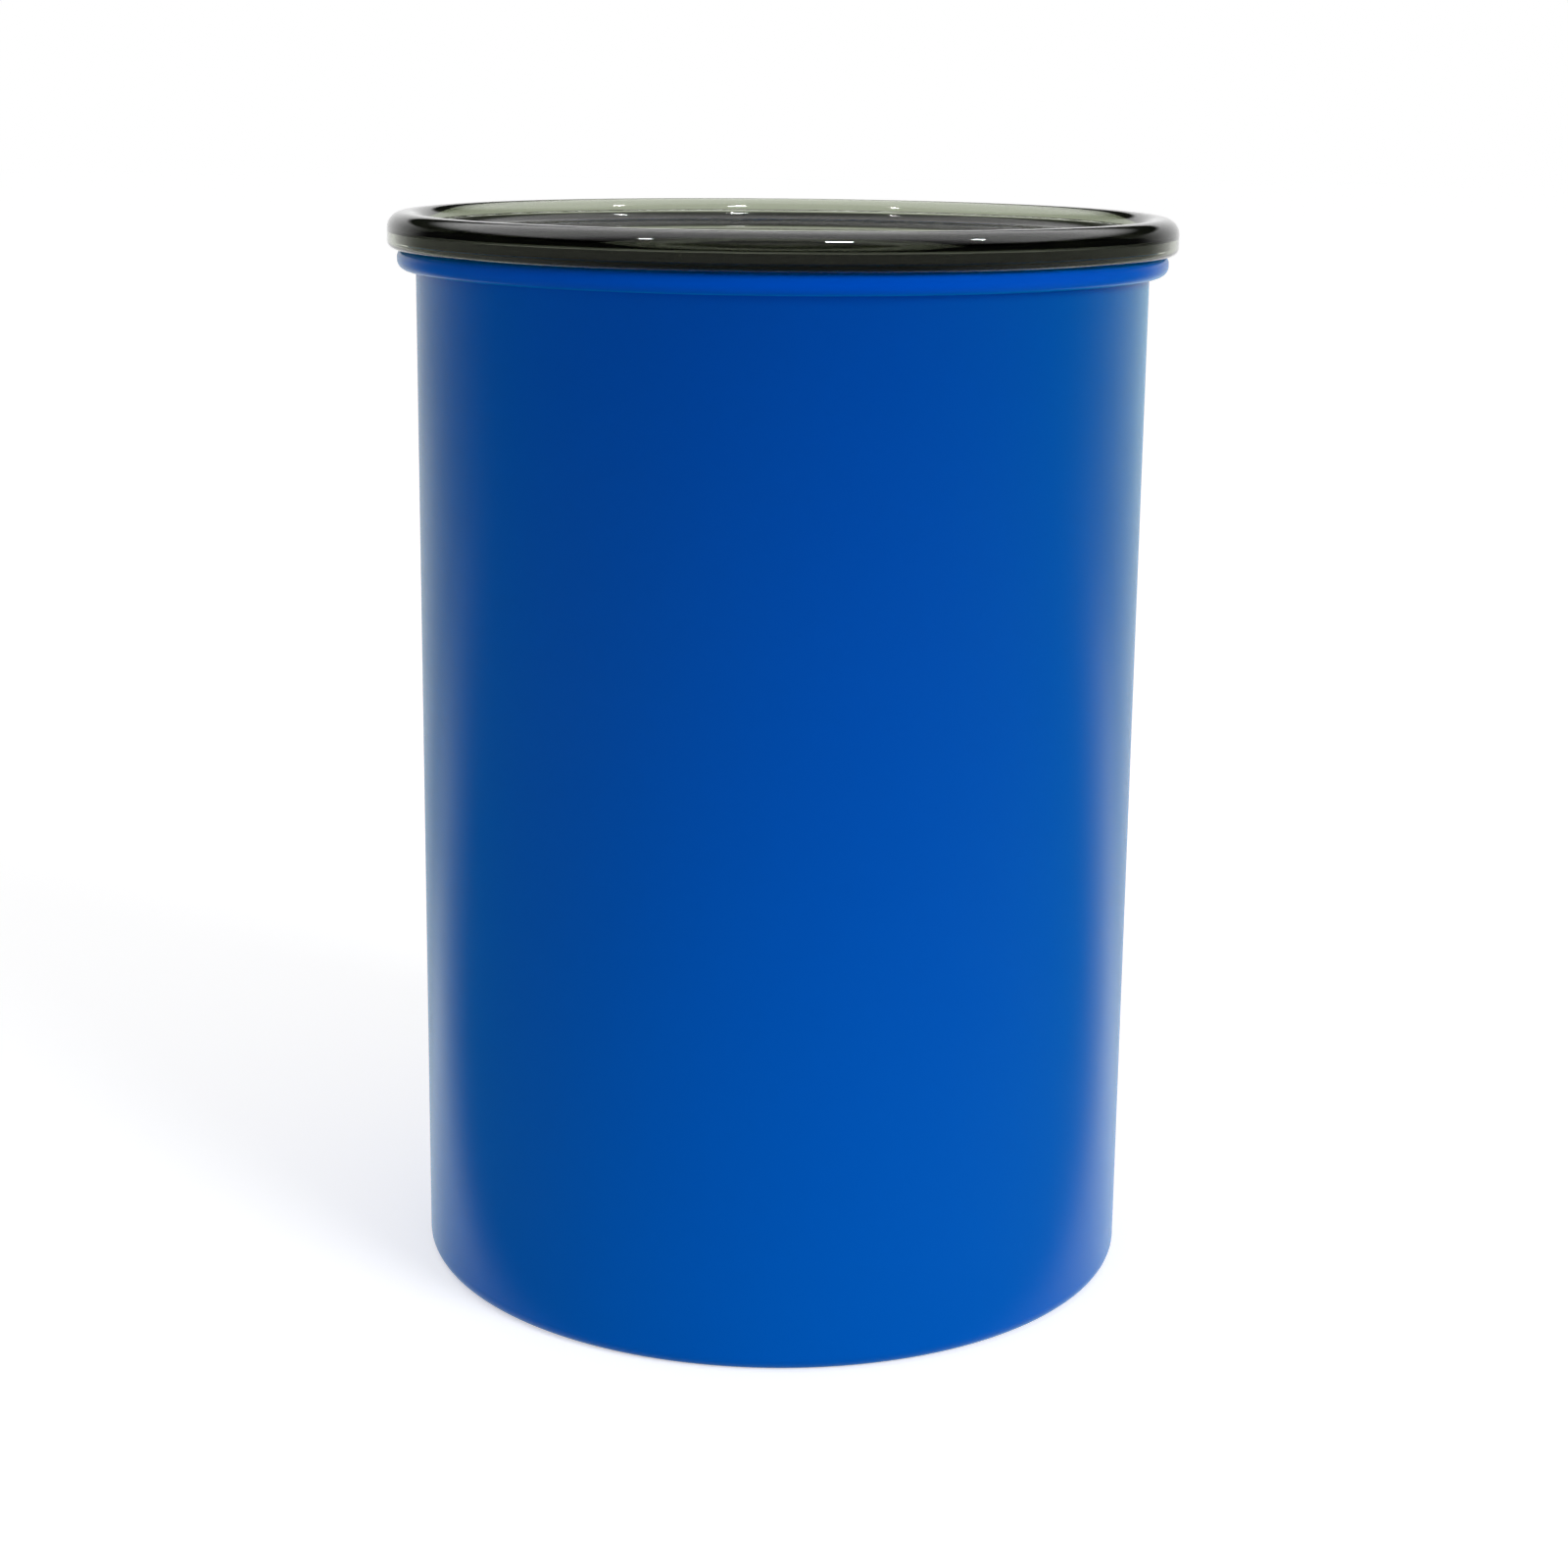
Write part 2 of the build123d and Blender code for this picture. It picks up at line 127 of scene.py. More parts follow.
LIP_THICKNESS = 0.8 * MM
LIP_INNER_RADIUS = 58.3 * MM
LIP_HEIGHT = 3.4 * MM
GASKET_ROUND = 0.25 * MM
RIB_COUNT = 24
RIB_RADIUS = 0.55 * MM
RIB_INNER = 30.5 * MM
RIB_OUTER = 39 * MM
LOWER_RIB_INNER = 20 * MM
LOWER_RIB_OUTER = 38 * MM

# Ridges, as ribs and on the handle's grip: steps along and around, and how late and how far they thin out
RIDGE_STEPS = 12
RIDGE_FALL = 6.0
RIDGE_BODY = 1.02

# Screws: the six that clamp the plates from below and the four that hold the cap
PLATE_SCREW_PLACES = {"Count": 6, "Circle": 44 * MM, "Start": math.radians(30)}
PLATE_SCREW_RADII = (1.4 * MM, 2.8 * MM)
PLATE_SCREW_SEED = 3
CAP_SCREW_PLACES = {"Count": 4, "Circle": 19.75 * MM, "Start": math.radians(45)}
CAP_SCREW_RADII = (1.1 * MM, 2.2 * MM)
CAP_SCREW_SEED = 8
SCREW_HEAD_HEIGHT = 1.4 * MM
SCREW_SLOT = {"Slot_Width": 0.7 * MM, "Slot_Depth": 0.6 * MM}
SCREW_AROUND = 32

# Valve
BARREL_RADIUS = 12 * MM
STEM_RADIUS = 2 * MM
FIT_GAP = 0.05 * MM
RETAINER_WIDTH = 1.6 * MM
RETAINER_AROUND = 96
WIRE_PITCH = 0.8 * MM
WIRE_AROUND = 5
STEPS_PER_WIRE = 5.0
SPRING = {"Radius": 3.4 * MM, "Wire": 0.25 * MM, "Turns": 6, "End_Turns": 1}
SPRING_AROUND = 10
SPRING_STEPS = 28
SPRING_GAP = 0.05 * MM
SPRING_LENGTH = 5 * MM
STEM_HEAD_THICKNESS = 1.5 * MM

# Handle
GRIP_RIDGES = {"Count": 11, "Step": 2.6 * MM, "Length": 5 * MM, "Radius": 0.4 * MM}
GRIP_DEPTH = 8 * MM
HANDLE_THICKNESS = 7 * MM

# Studio: a range goes from one Y or Z of a direction to another, with the light at both; Y points backwards
ROOM_LIGHT = 0.6
DARK_ROOM = 0.02
SWEEP_BY_Y = (0.5, 1.0, DARK_ROOM, 1.0)
SWEEP_BY_Z = (0.26, 0.32, 1.0, 0.0)
CEILING_BY_Z = (0.4, 0.6, 0.0, 1.0)
CEILING_BY_Y = (-0.5, -0.05, 0.35, 1.8)
THROUGH_LID_BY_Y = (-0.9, 0.1, 0.25, 1.0)
WHITE_FLOOR_BY_Y = (0.55, 1.0, 0.0, 1.0)
WHITE_FLOOR_NEAR = 0.08
FLOOR_REACH = 6
FLOOR_SHADE = 0.8
FLOOR_GLOW = 0.52

# Lamps: place, width, height, power and the point aimed at
MIDDLE = (0, 0, 0.09)
LID_TOP = (0, 0, 0.178)
KEY_LAMP = ("key_lamp", (1.0, -1.0, 0.75), 0.7, 0.7, 12.5, MIDDLE)
SPOTS = (
    ("left_spot", (-0.71, -0.60, 1.28), 0.08, 0.08, 2, LID_TOP),
    ("middle_spot", (0.32, -0.87, 1.28), 0.16, 0.16, 9, LID_TOP),
    ("right_spot", (0.90, -0.22, 1.28), 0.09, 0.08, 2.5, LID_TOP),
)

# Colours, linear
WHITE = (1, 1, 1, 1)
BLUE_HIGH = (0.0, 0.060, 0.445, 1)
# Brighter blue that the paint's random tone leans to a little and its painted floor bounce leans to near the
# foot
BLUE_TONE_AND_PAINTED_BOUNCE = (0.0, 0.092, 0.465, 1)
BLUE_GLINT = (0.0, 0.3, 1.0, 1)
BLUE_SHEEN = (0.0, 0.8, 1.0, 1)
CLEAN_STEEL = (0.64, 0.63, 0.61, 1)
DULL_STEEL = (0.55, 0.55, 0.54, 1)
SMOKE_SURFACE = (0.80, 0.82, 0.74, 1)
SMOKE_DEPTH = (0.42, 0.46, 0.34, 1)
SILICONE_BLACK = (0.012, 0.012, 0.013, 1)
SILICONE_DUST = (0.06, 0.057, 0.05, 1)
BLACK_PLASTIC = (0.013, 0.013, 0.014, 1)
BLACK_RUBBED = (0.07, 0.07, 0.072, 1)
GREY_PLASTIC = (0.17, 0.175, 0.18, 1)
GREY_RUBBED = (0.34, 0.34, 0.34, 1)
SCREW_STEEL = (0.60, 0.59, 0.57, 1)
AXLE_STEEL = (0.58, 0.575, 0.56, 1)

# Height above the floor at which the paint's painted floor bounce, a brighter foot, has faded out
PAINTED_BOUNCE_TOP = 165 * MM

# Modelling: steps around, points in a rounded corner with its two support points, and limits
AROUND = 480
CAN_AROUND = 256
ROUND_STEPS = 7
CORNER_POINTS = ROUND_STEPS + 3
SUPPORT_SHARE = 1 / 8
MERGE = 0.001 * MM
EASE = 0.25 * MM
FINE_EASE = 0.12 * MM
FLAT = math.radians(0.3)
SHARP = math.radians(32)

# Inputs of the shape trees that aren't plain lengths or angles
INPUT_KINDS = {"Outline": "Geometry", "Material": "Material"}
INPUT_KINDS.update(dict.fromkeys(("Around", "Count", "Seed"), "Int"))


def arc_points(corner, before, after, radius):
    """Points of the arc that rounds a corner between two straight runs, with a support point on each run."""
    corner, before, after = Vector(corner), Vector(before), Vector(after)
    back, ahead = (before - corner).normalized(), (after - corner).normalized()
    half = back.angle(ahead) / 2
    reach = radius / math.tan(half)
    centre = corner + (back + ahead).normalized() * radius / math.sin(half)
    start, end = corner + back * reach - centre, corner + ahead * reach - centre
    turn = start.angle_signed(end)
    points = []
    for step in range(ROUND_STEPS + 1):
        angle = -turn * step / ROUND_STEPS
        points.append(centre + Matrix.Rotation(angle, 2) @ start)
    shorter_run = min((before - corner).length, (after - corner).length)
    support = min(radius, shorter_run / 2) * SUPPORT_SHARE
    return [points[0] + back * support, *points, points[-1] + ahead * support]


def outline(corners, closed=False):
    """Turn (radius, height, rounding) corners into outline points; a corner with no rounding stays sharp."""
    points = []
    count = len(corners)
    for i, (radius, height, rounding) in enumerate(corners):
        if rounding:
            before, after = corners[i - 1][:2], corners[(i + 1) % count][:2]
            points += arc_points((radius, height), before, after, rounding)
        else:
            points.append(Vector((radius, height)))
    if closed:
        points.append(points[0].copy())
    return points


def outline_mesh(name, points, bare_from):
    """Mesh of an outline's points, joined one to the next in the XZ plane, marked bare from bare_from on."""
    source = bpy.data.meshes.new(name + "_outline")
    source.from_pydata([(p.x, 0, p.y) for p in points], [(i, i + 1) for i in range(len(points) - 1)], [])
    bare = source.attributes.new("bare", "FLOAT", "POINT").data
    for i in range(bare_from or len(points), len(points)):
        bare[i].value = 1.0
    return source


def new_object(name, data):
    """Object in the scene."""
    made = bpy.data.objects.new(name, data)
    bpy.context.scene.collection.objects.link(made)
    return made


def new_tree(name, *labels):
    """Geometry node tree with the named inputs, returned with the sockets that carry them."""
    tree = bpy.data.node_groups.new(name, "GeometryNodeTree")
    for label in labels:
        kind = "NodeSocket" + INPUT_KINDS.get(label, "Float")
        tree.interface.new_socket(name=label, in_out="INPUT", socket_type=kind)
    tree.interface.new_socket(name="Geometry", in_out="OUTPUT", socket_type="NodeSocketGeometry")
    return tree, tree.nodes.new("NodeGroupInput").outputs


def feed(tree, target, value):
    """Link a node's input to a socket, or set it to a plain value."""
    if isinstance(value, bpy.types.NodeSocket):
        tree.links.new(value, target)
    else:
        target.default_value = value


def add_node(tree, kind, links=(), **settings):
    """Add a node, set its properties, and feed its inputs from sockets or plain values."""
    node = tree.nodes.new(kind)
    for key, value in settings.items():
        setattr(node, key, value)
    for socket, value in dict(links).items():
        feed(tree, node.inputs[socket], value)
    return node


def shape(tree, kind, links=(), **settings):
    """First output of one geometry node."""
    return add_node(tree, "GeometryNode" + kind, links, **settings).outputs[0]


def shading(tree, kind, links=(), **settings):
    """First output of one shader node."""
    return add_node(tree, "ShaderNode" + kind, links, **settings).outputs[0]


def set_values(tree, node, **values):
    """Feed a node's inputs; underscores stand for the spaces in a socket's name."""
    for key, value in values.items():
        feed(tree, node.inputs[key.replace("_", " ")], value)


def maths(tree, operation, first, second=0.0, third=0.0, **settings):
    """Output of one Math node."""
    return shading(tree, "Math", {0: first, 1: second, 2: third}, operation=operation, **settings)


def times(tree, first, second):
    """Product of two numbers."""
    return maths(tree, "MULTIPLY", first, second)


def vector(tree, x=0.0, y=0.0, z=0.0):
    """Vector from three values or sockets."""
    return shading(tree, "CombineXYZ", {0: x, 1: y, 2: z})


def parts(tree, place):
    """X, Y and Z of a vector, by name."""
    return add_node(tree, "ShaderNodeSeparateXYZ", {0: place}).outputs


def distance_of(tree, place):
    """Distance of a place from the middle."""
    return add_node(tree, "ShaderNodeVectorMath", {0: place}, operation="LENGTH").outputs["Value"]


def ranged(tree, value, start, end, low=0.0, high=1.0, **settings):
    """Clamped range of a value, linear unless the settings say otherwise."""
    links = {"Value": value, "From Min": start, "From Max": end, "To Min": low, "To Max": high}
    return shading(tree, "MapRange", links, **settings)


def smooth_range(tree, value, start, end, low, high):
    """Smooth step of a value from one level to another."""
    return ranged(tree, value, start, end, low, high, interpolation_type="SMOOTHSTEP")


def end_tree(tree, form, material):
    """Finish a tree with real geometry in one material."""
    real = shape(tree, "RealizeInstances", {0: form})
    end_part(tree, shape(tree, "SetMaterial", {"Geometry": real, "Material": material}))


def end_part(tree, form):
    """Give a tree's geometry out as it is."""
    tree.links.new(form, tree.nodes.new("NodeGroupOutput").inputs[0])


def moved(tree, form, height, turn=0.0):
    """Geometry raised along Z and turned about it."""
    links = {"Geometry": form, "Translation": vector(tree, z=height), "Rotation": vector(tree, z=turn)}
    return shape(tree, "Transform", links)


def copied(tree, points, form, rotation=(0, 0, 0)):
    """A copy of a shape on each point."""
    return shape(tree, "InstanceOnPoints", {"Points": points, "Instance": form, "Rotation": rotation})


def even_line(tree, half, count):
    """Line along X, as far to one side of the middle as to the other, in even steps."""
    back = times(tree, half, -1.0)
    line = shape(tree, "CurvePrimitiveLine", {"Start": vector(tree, x=back), "End": vector(tree, x=half)})
    return shape(tree, "ResampleCurve", {"Curve": line, "Count": count})


def swept(tree, curve, radius, around):
    """Round rod or wire along a curve, closed at its ends and shaded smooth."""
    section = shape(tree, "CurvePrimitiveCircle", {"Resolution": around, "Radius": radius})
    body = shape(tree, "CurveToMesh", {"Curve": curve, "Profile Curve": section, "Fill Caps": True})
    return shape(tree, "SetShadeSmooth", {"Geometry": body})


def turned_tree():
    """Turns an outline held in the XZ plane about Z, carrying its bare-metal mark onto the surface."""
    tree, given = new_tree("turned shape", "Outline", "Around", "Material")
    held = {"Geometry": given["Outline"]}
    count = add_node(tree, "GeometryNodeAttributeDomainSize", held).outputs["Point Count"]
    columns = maths(tree, "ADD", given["Around"], 1.0)
    grid = shape(tree, "MeshGrid", {"Vertices X": columns, "Vertices Y": count})
    index = shape(tree, "InputIndex")
    held["Index"] = maths(tree, "MODULO", index, count)
    column = maths(tree, "FLOOR", maths(tree, "DIVIDE", index, count))
    angle = times(tree, maths(tree, "DIVIDE", column, given["Around"]), FULL_TURN)
    place = shape(tree, "InputPosition")
    mark = shape(tree, "InputNamedAttribute", {"Name": "bare"}, data_type="FLOAT")
    point = shape(tree, "SampleIndex", {**held, "Value": place}, data_type="FLOAT_VECTOR")
    bare = shape(tree, "SampleIndex", {**held, "Value": mark}, data_type="FLOAT")
    spun = shading(tree, "VectorRotate", {"Vector": point, "Angle": angle}, rotation_type="Z_AXIS")
    stored = {"Geometry": grid, "Name": "bare", "Value": bare}
    marked = shape(tree, "StoreNamedAttribute", stored, data_type="FLOAT", domain="POINT")
    shaped = shape(tree, "SetPosition", {"Geometry": marked, "Position": spun})
    welded = shape(tree, "MergeByDistance", {"Geometry": shaped, "Distance": MERGE})
    end_tree(tree, shape(tree, "SetShadeSmooth", {"Geometry": welded}), given["Material"])
    return tree


def turned_shape(tree, given):
    """The shape turned from a tree's own outline."""
    links = {name: given[name] for name in ("Outline", "Around", "Material")}
    return shape(tree, "Group", links, node_tree=TURNED)


def circle_of(tree, given):
    """Points on a circle that lies at its own height and starts at its own angle."""
    circle = shape(tree, "MeshCircle", {"Vertices": given["Count"], "Radius": given["Circle"]})
    return moved(tree, circle, given["Seat"], given["Start"])


def posts_tree():
    """Round posts turned from one outline and set on a circle."""
    labels = ("Outline", "Around", "Count", "Circle", "Start", "Seat", "Material")
    tree, given = new_tree("posts on a circle", *labels)
    post = turned_shape(tree, given)
    end_tree(tree, copied(tree, circle_of(tree, given), post), given["Material"])
    return tree


def creased(tree, form):
    """Shade a mesh smooth but keep the edges that turn sharply."""
    soft = shape(tree, "SetShadeSmooth", {"Geometry": form})
    bend = add_node(tree, "GeometryNodeInputMeshEdgeAngle").outputs["Unsigned Angle"]
    sharp = add_node(tree, "FunctionNodeCompare", {0: bend, 1: SHARP}, operation="GREATER_THAN").outputs[0]
    links = {"Geometry": soft, "Selection": sharp, "Shade Smooth": False}
    return shape(tree, "SetShadeSmooth", links, domain="EDGE")


def screw_tree():
    """Slotted screws turned from one outline and set on a circle, each slot at its own angle."""
    places = ("Outline", "Around", "Count", "Circle", "Start", "Seat", "Lean")
    sizes = ("Head Width", "Head Height", "Slot Width", "Slot Depth", "Seed", "Material")
    tree, given = new_tree("screws on a circle", *places, *sizes)
    deep = times(tree, given["Slot Depth"], 2.0)
    slot_size = vector(tree, given["Head Width"], given["Slot Width"], deep)
    slot = moved(tree, shape(tree, "MeshCube", {"Size": slot_size}), given["Head Height"])
    cut = shape(tree, "MeshBoolean", {"Mesh 1": turned_shape(tree, given), "Mesh 2": slot})
    limits = {"Min": 0.0, "Max": math.pi, "Seed": given["Seed"]}
    spin = add_node(tree, "FunctionNodeRandomValue", limits, data_type="FLOAT").outputs["Value"]
    copies = copied(tree, circle_of(tree, given), cut, vector(tree, x=given["Lean"], z=spin))
    real = shape(tree, "RealizeInstances", {0: copies})
    end_tree(tree, creased(tree, real), given["Material"])
    return tree


def ridge_tree():
    """One half-buried ridge along X whose ends run out to nothing."""
    tree, given = new_tree("ridge", "Length", "Radius")
    line = even_line(tree, times(tree, given["Length"], 0.5), RIDGE_STEPS)
    centred = maths(tree, "MULTIPLY_ADD", shape(tree, "SplineParameter"), 2.0, -1.0)
    fall = maths(tree, "POWER", maths(tree, "ABSOLUTE", centred), RIDGE_FALL)
    width = maths(tree, "SQRT", maths(tree, "SUBTRACT", RIDGE_BODY, fall))
    swell = shape(tree, "SetCurveRadius", {"Curve": line, "Radius": width})
    end_part(tree, swept(tree, swell, given["Radius"], RIDGE_STEPS))
    return tree


def spokes_tree():
    """Ridges set round a circle like spokes."""
    tree, given = new_tree("spokes", "Count", "Inner", "Outer", "Radius", "Height", "Start", "Material")
    length = maths(tree, "SUBTRACT", given["Outer"], given["Inner"])
    middle = times(tree, maths(tree, "ADD", given["Outer"], given["Inner"]), 0.5)
    ridge = shape(tree, "Group", {"Length": length, "Radius": given["Radius"]}, node_tree=RIDGE)
    circle = shape(tree, "MeshCircle", {"Vertices": given["Count"], "Radius": middle})
    step = maths(tree, "DIVIDE", FULL_TURN, given["Count"])
    turn = vector(tree, z=times(tree, shape(tree, "InputIndex"), step))
    copies = copied(tree, circle, ridge, turn)
    end_tree(tree, moved(tree, copies, given["Height"], given["Start"]), given["Material"])
    return tree


def row_of(tree, count, first, step):
    """Points in a straight row."""
    return shape(tree, "MeshLine", {"Count": count, "Start Location": first, "Offset": step})


def ridge_row_tree():
    """Ridges along Y in a row along X, centred on a place."""
    tree, given = new_tree("row of ridges", "Count", "Step", "Length", "Radius", "Y", "Z", "Material")
    ridge = shape(tree, "Group", {name: given[name] for name in ("Length", "Radius")}, node_tree=RIDGE)
    last = maths(tree, "SUBTRACT", given["Count"], 1.0)
    start = times(tree, times(tree, last, given["Step"]), -0.5)
    first = vector(tree, start, given["Y"], given["Z"])
    row = row_of(tree, given["Count"], first, vector(tree, x=given["Step"]))
    end_tree(tree, copied(tree, row, ridge, (0, 0, QUARTER_TURN)), given["Material"])
    return tree


def wires_tree():
    """Wires along X across a disc, each waved over and under the ones that cross it."""
    tree, given = new_tree("wires one way", "Radius", "Pitch", "Wire", "Wave")
    radius, pitch, wire = given["Radius"], given["Pitch"], given["Wire"]
    side = maths(tree, "FLOOR", maths(tree, "DIVIDE", radius, pitch))
    count = maths(tree, "MULTIPLY_ADD", side, 2.0, 1.0)
    first = times(tree, times(tree, side, pitch), -1.0)
    rows = row_of(tree, count, vector(tree, y=first), vector(tree, y=pitch))
    line = even_line(tree, radius, times(tree, count, STEPS_PER_WIRE))
    real = shape(tree, "RealizeInstances", {0: copied(tree, rows, line)})
    place = shape(tree, "InputPosition")
    split = parts(tree, place)
    row = maths(tree, "ROUND", maths(tree, "DIVIDE", split["Y"], pitch))
    phase = maths(tree, "ADD", maths(tree, "DIVIDE", split["X"], pitch), row)
    wave = maths(tree, "COSINE", times(tree, phase, math.pi))
    lift = times(tree, times(tree, wave, wire), given["Wave"])
    waved = shape(tree, "SetPosition", {"Geometry": real, "Offset": vector(tree, z=lift)})
    outside = maths(tree, "GREATER_THAN", distance_of(tree, place), radius)
    disc = shape(tree, "DeleteGeometry", {"Geometry": waved, "Selection": outside}, domain="POINT")
    end_part(tree, swept(tree, disc, wire, WIRE_AROUND))
    return tree


def woven_tree():
    """Plain-woven wire disc."""
    tree, given = new_tree("woven disc", "Radius", "Pitch", "Wire", "Height", "Material")
    sizes = {name: given[name] for name in ("Radius", "Pitch", "Wire")}
    warp = shape(tree, "Group", {**sizes, "Wave": 1.0}, node_tree=WIRES)
    weft = shape(tree, "Group", {**sizes, "Wave": -1.0}, node_tree=WIRES)
    crossed = shape(tree, "Transform", {"Geometry": weft, "Rotation": (0, 0, QUARTER_TURN)})
    cloth = tree.nodes.new("GeometryNodeJoinGeometry")
    for threads in (warp, crossed):
        tree.links.new(threads, cloth.inputs[0])
    end_tree(tree, moved(tree, cloth.outputs[0], given["Height"]), given["Material"])
    return tree


def coil_tree():
    """Compression spring whose end turns lie closed on their neighbours."""
    labels = ("Radius", "Wire", "Length", "Turns", "End Turns", "Base", "Material")
    tree, given = new_tree("compression spring", *labels)
    wire, radius, turns = given["Wire"], given["Radius"], given["Turns"]
    widths = {"Start Radius": radius, "End Radius": radius}
    links = {"Resolution": SPRING_STEPS, "Rotations": turns, **widths, "Height": 0.0}
    spiral = shape(tree, "CurveSpiral", links)
    along = shape(tree, "SplineParameter")
    share = maths(tree, "DIVIDE", given["End Turns"], turns)
    other = maths(tree, "SUBTRACT", 1.0, share)
    thick = times(tree, wire, 2.0)
    open_rise = maths(tree, "SUBTRACT", given["Length"], times(tree, wire, 6.0))
    foot = ranged(tree, along, 0.0, share, 0.0, thick)
    head = ranged(tree, along, other, 1.0, 0.0, thick)
    middle = ranged(tree, along, share, other, 0.0, open_rise)
    low = maths(tree, "ADD", given["Base"], wire)
    rise = maths(tree, "ADD", maths(tree, "ADD", foot, head), maths(tree, "ADD", middle, low))
    lifted = shape(tree, "SetPosition", {"Geometry": spiral, "Offset": vector(tree, z=rise)})
    end_tree(tree, swept(tree, lifted, wire, SPRING_AROUND), given["Material"])
    return tree


def grown(name, points, tree, bare_from=None, **values):
    """Run a tree on an outline, or on nothing, with its named inputs set; returns a plain mesh object."""
    source = outline_mesh(name, points, bare_from) if points else bpy.data.meshes.new(name)
    carrier = new_object(name + "_carrier", source)
    modifier = carrier.modifiers.new("shape", "NODES")
    modifier.node_group = tree
    for item in tree.interface.items_tree:
        label = item.name.replace(" ", "_")
        if item.in_out == "INPUT" and label in values:
            modifier[item.identifier] = values[label]
    evaluated = carrier.evaluated_get(bpy.context.evaluated_depsgraph_get())
    mesh = bpy.data.meshes.new_from_object(evaluated)
    bpy.data.objects.remove(carrier)
    mesh.name = name
    return new_object(name, mesh)


def outward(piece):
    """Clean a closed piece's mesh and turn its faces outwards."""
    work = bmesh.new()
    work.from_mesh(piece.data)
    bmesh.ops.remove_doubles(work, verts=work.verts, dist=MERGE)
    bmesh.ops.dissolve_degenerate(work, edges=work.edges, dist=MERGE)
    bmesh.ops.recalc_face_normals(work, faces=work.faces)
    work.to_mesh(piece.data)
    work.free()
    return piece


def turned(name, corners, material, around=AROUND, closed=True, bare_from=None, bare_material=None):
    """Solid of revolution from an outline's corners; points from bare_from on take the bare material."""
    points = outline(corners, closed)
    piece = outward(grown(name, points, TURNED, bare_from, Around=around, Material=material))
    if bare_material:
        piece.data.materials.append(bare_material)
        bare_slot = len(piece.data.materials) - 1
        bare = piece.data.attributes["bare"].data
        for face in piece.data.polygons:
            if all(bare[v].value > 0.5 for v in face.vertices):
                face.material_index = bare_slot
    return piece


def smoothed(name, node, material, ease):
    """A CAD node's shape with its flat faces whole again, its edges eased and its curves shaded smooth."""
    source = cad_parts[node].data
    mesh = bpy.data.meshes.new(name)
    mesh.from_pydata([v.co for v in source.vertices], [], [tuple(f.vertices) for f in source.polygons])
    work = bmesh.new()
    work.from_mesh(mesh)
    bmesh.ops.remove_doubles(work, verts=work.verts, dist=MERGE)
    bmesh.ops.recalc_face_normals(work, faces=work.faces)
    bmesh.ops.dissolve_limit(work, angle_limit=FLAT, verts=work.verts, edges=work.edges)
    work.to_mesh(mesh)
    work.free()
    return eased(name, mesh, material, ease)


def eased(name, mesh, material, ease):
    """Piece from a mesh with its sharp edges rounded and its flat faces shaded flat."""
    mesh.materials.append(material)
    mesh.shade_smooth()
    piece = new_object(name, mesh)
    edge = piece.modifiers.new("eased edges", "BEVEL")
    edge.width = ease
    edge.segments = 2
    edge.limit_method = "ANGLE"
    edge.angle_limit = SHARP
    even = piece.modifiers.new("even shading", "WEIGHTED_NORMAL")
    even.weight = 100
    evaluated = piece.evaluated_get(bpy.context.evaluated_depsgraph_get())
    finished = bpy.data.meshes.new_from_object(evaluated)
    piece.modifiers.clear()
    piece.data = finished
    finished.name = name
    return piece


def fitted(piece, body, slot, *nodes):
    """Let a piece ride on its body and stand for its nodes, which it hides; the slot is not used."""
    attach(piece, body)
    if nodes:
        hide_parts(*nodes)


def new_material(name):
    """Empty node material, with its tree and its Principled shader."""
    material = bpy.data.materials.new(name)
    material.use_nodes = True
    tree = material.node_tree
    return material, tree, tree.nodes["Principled BSDF"]


def new_shader_group(name, **inputs):
    """Shader node group with number inputs, returned with the sockets that carry them."""
    group = bpy.data.node_groups.new(name, "ShaderNodeTree")
    for label, default in inputs.items():
        socket = group.interface.new_socket(name=label, in_out="INPUT", socket_type="NodeSocketFloat")
        socket.default_value = default
    return group, group.nodes.new("NodeGroupInput").outputs


def end_group(group, **results):
    """Give a shader group its number outputs."""
    for label in results:
        group.interface.new_socket(name=label, in_out="OUTPUT", socket_type="NodeSocketFloat")
    set_values(group, group.nodes.new("NodeGroupOutput"), **results)
    return group


def placed_group(tree, group, **values):
    """A shader group in a material, with its own values; returns its outputs."""
    node = add_node(tree, "ShaderNodeGroup", node_tree=group)
    set_values(tree, node, **values)
    return node.outputs


def object_place(tree):
    """Object coordinates."""
    return add_node(tree, "ShaderNodeTexCoord").outputs["Object"]


def noise(tree, place, scale, detail=2.0, roughness=0.5):
    """Value of a noise texture."""
    links = {"Vector": place, "Scale": scale, "Detail": detail, "Roughness": roughness}
    return add_node(tree, "ShaderNodeTexNoise", links).outputs["Fac"]


def stretched(tree, place, x, y, z):
    """Place scaled by its own amount along each axis."""
    return shading(tree, "Mapping", {"Vector": place, "Scale": (x, y, z)})


def blended(tree, factor, first, second):
    """Colour between two colours."""
    return add_node(tree, "ShaderNodeMix", {0: factor, 6: first, 7: second}, data_type="RGBA").outputs[2]


def between(tree, factor, first, second):
    """Number between two numbers."""
    return shading(tree, "Mix", {"Factor": factor, "A": first, "B": second})


def bumped(tree, shader, height, strength, distance):
    """Feed a height to the shader's normal."""
    bump = shading(tree, "Bump", {"Height": height, "Strength": strength, "Distance": distance})
    set_values(tree, shader, Normal=bump)


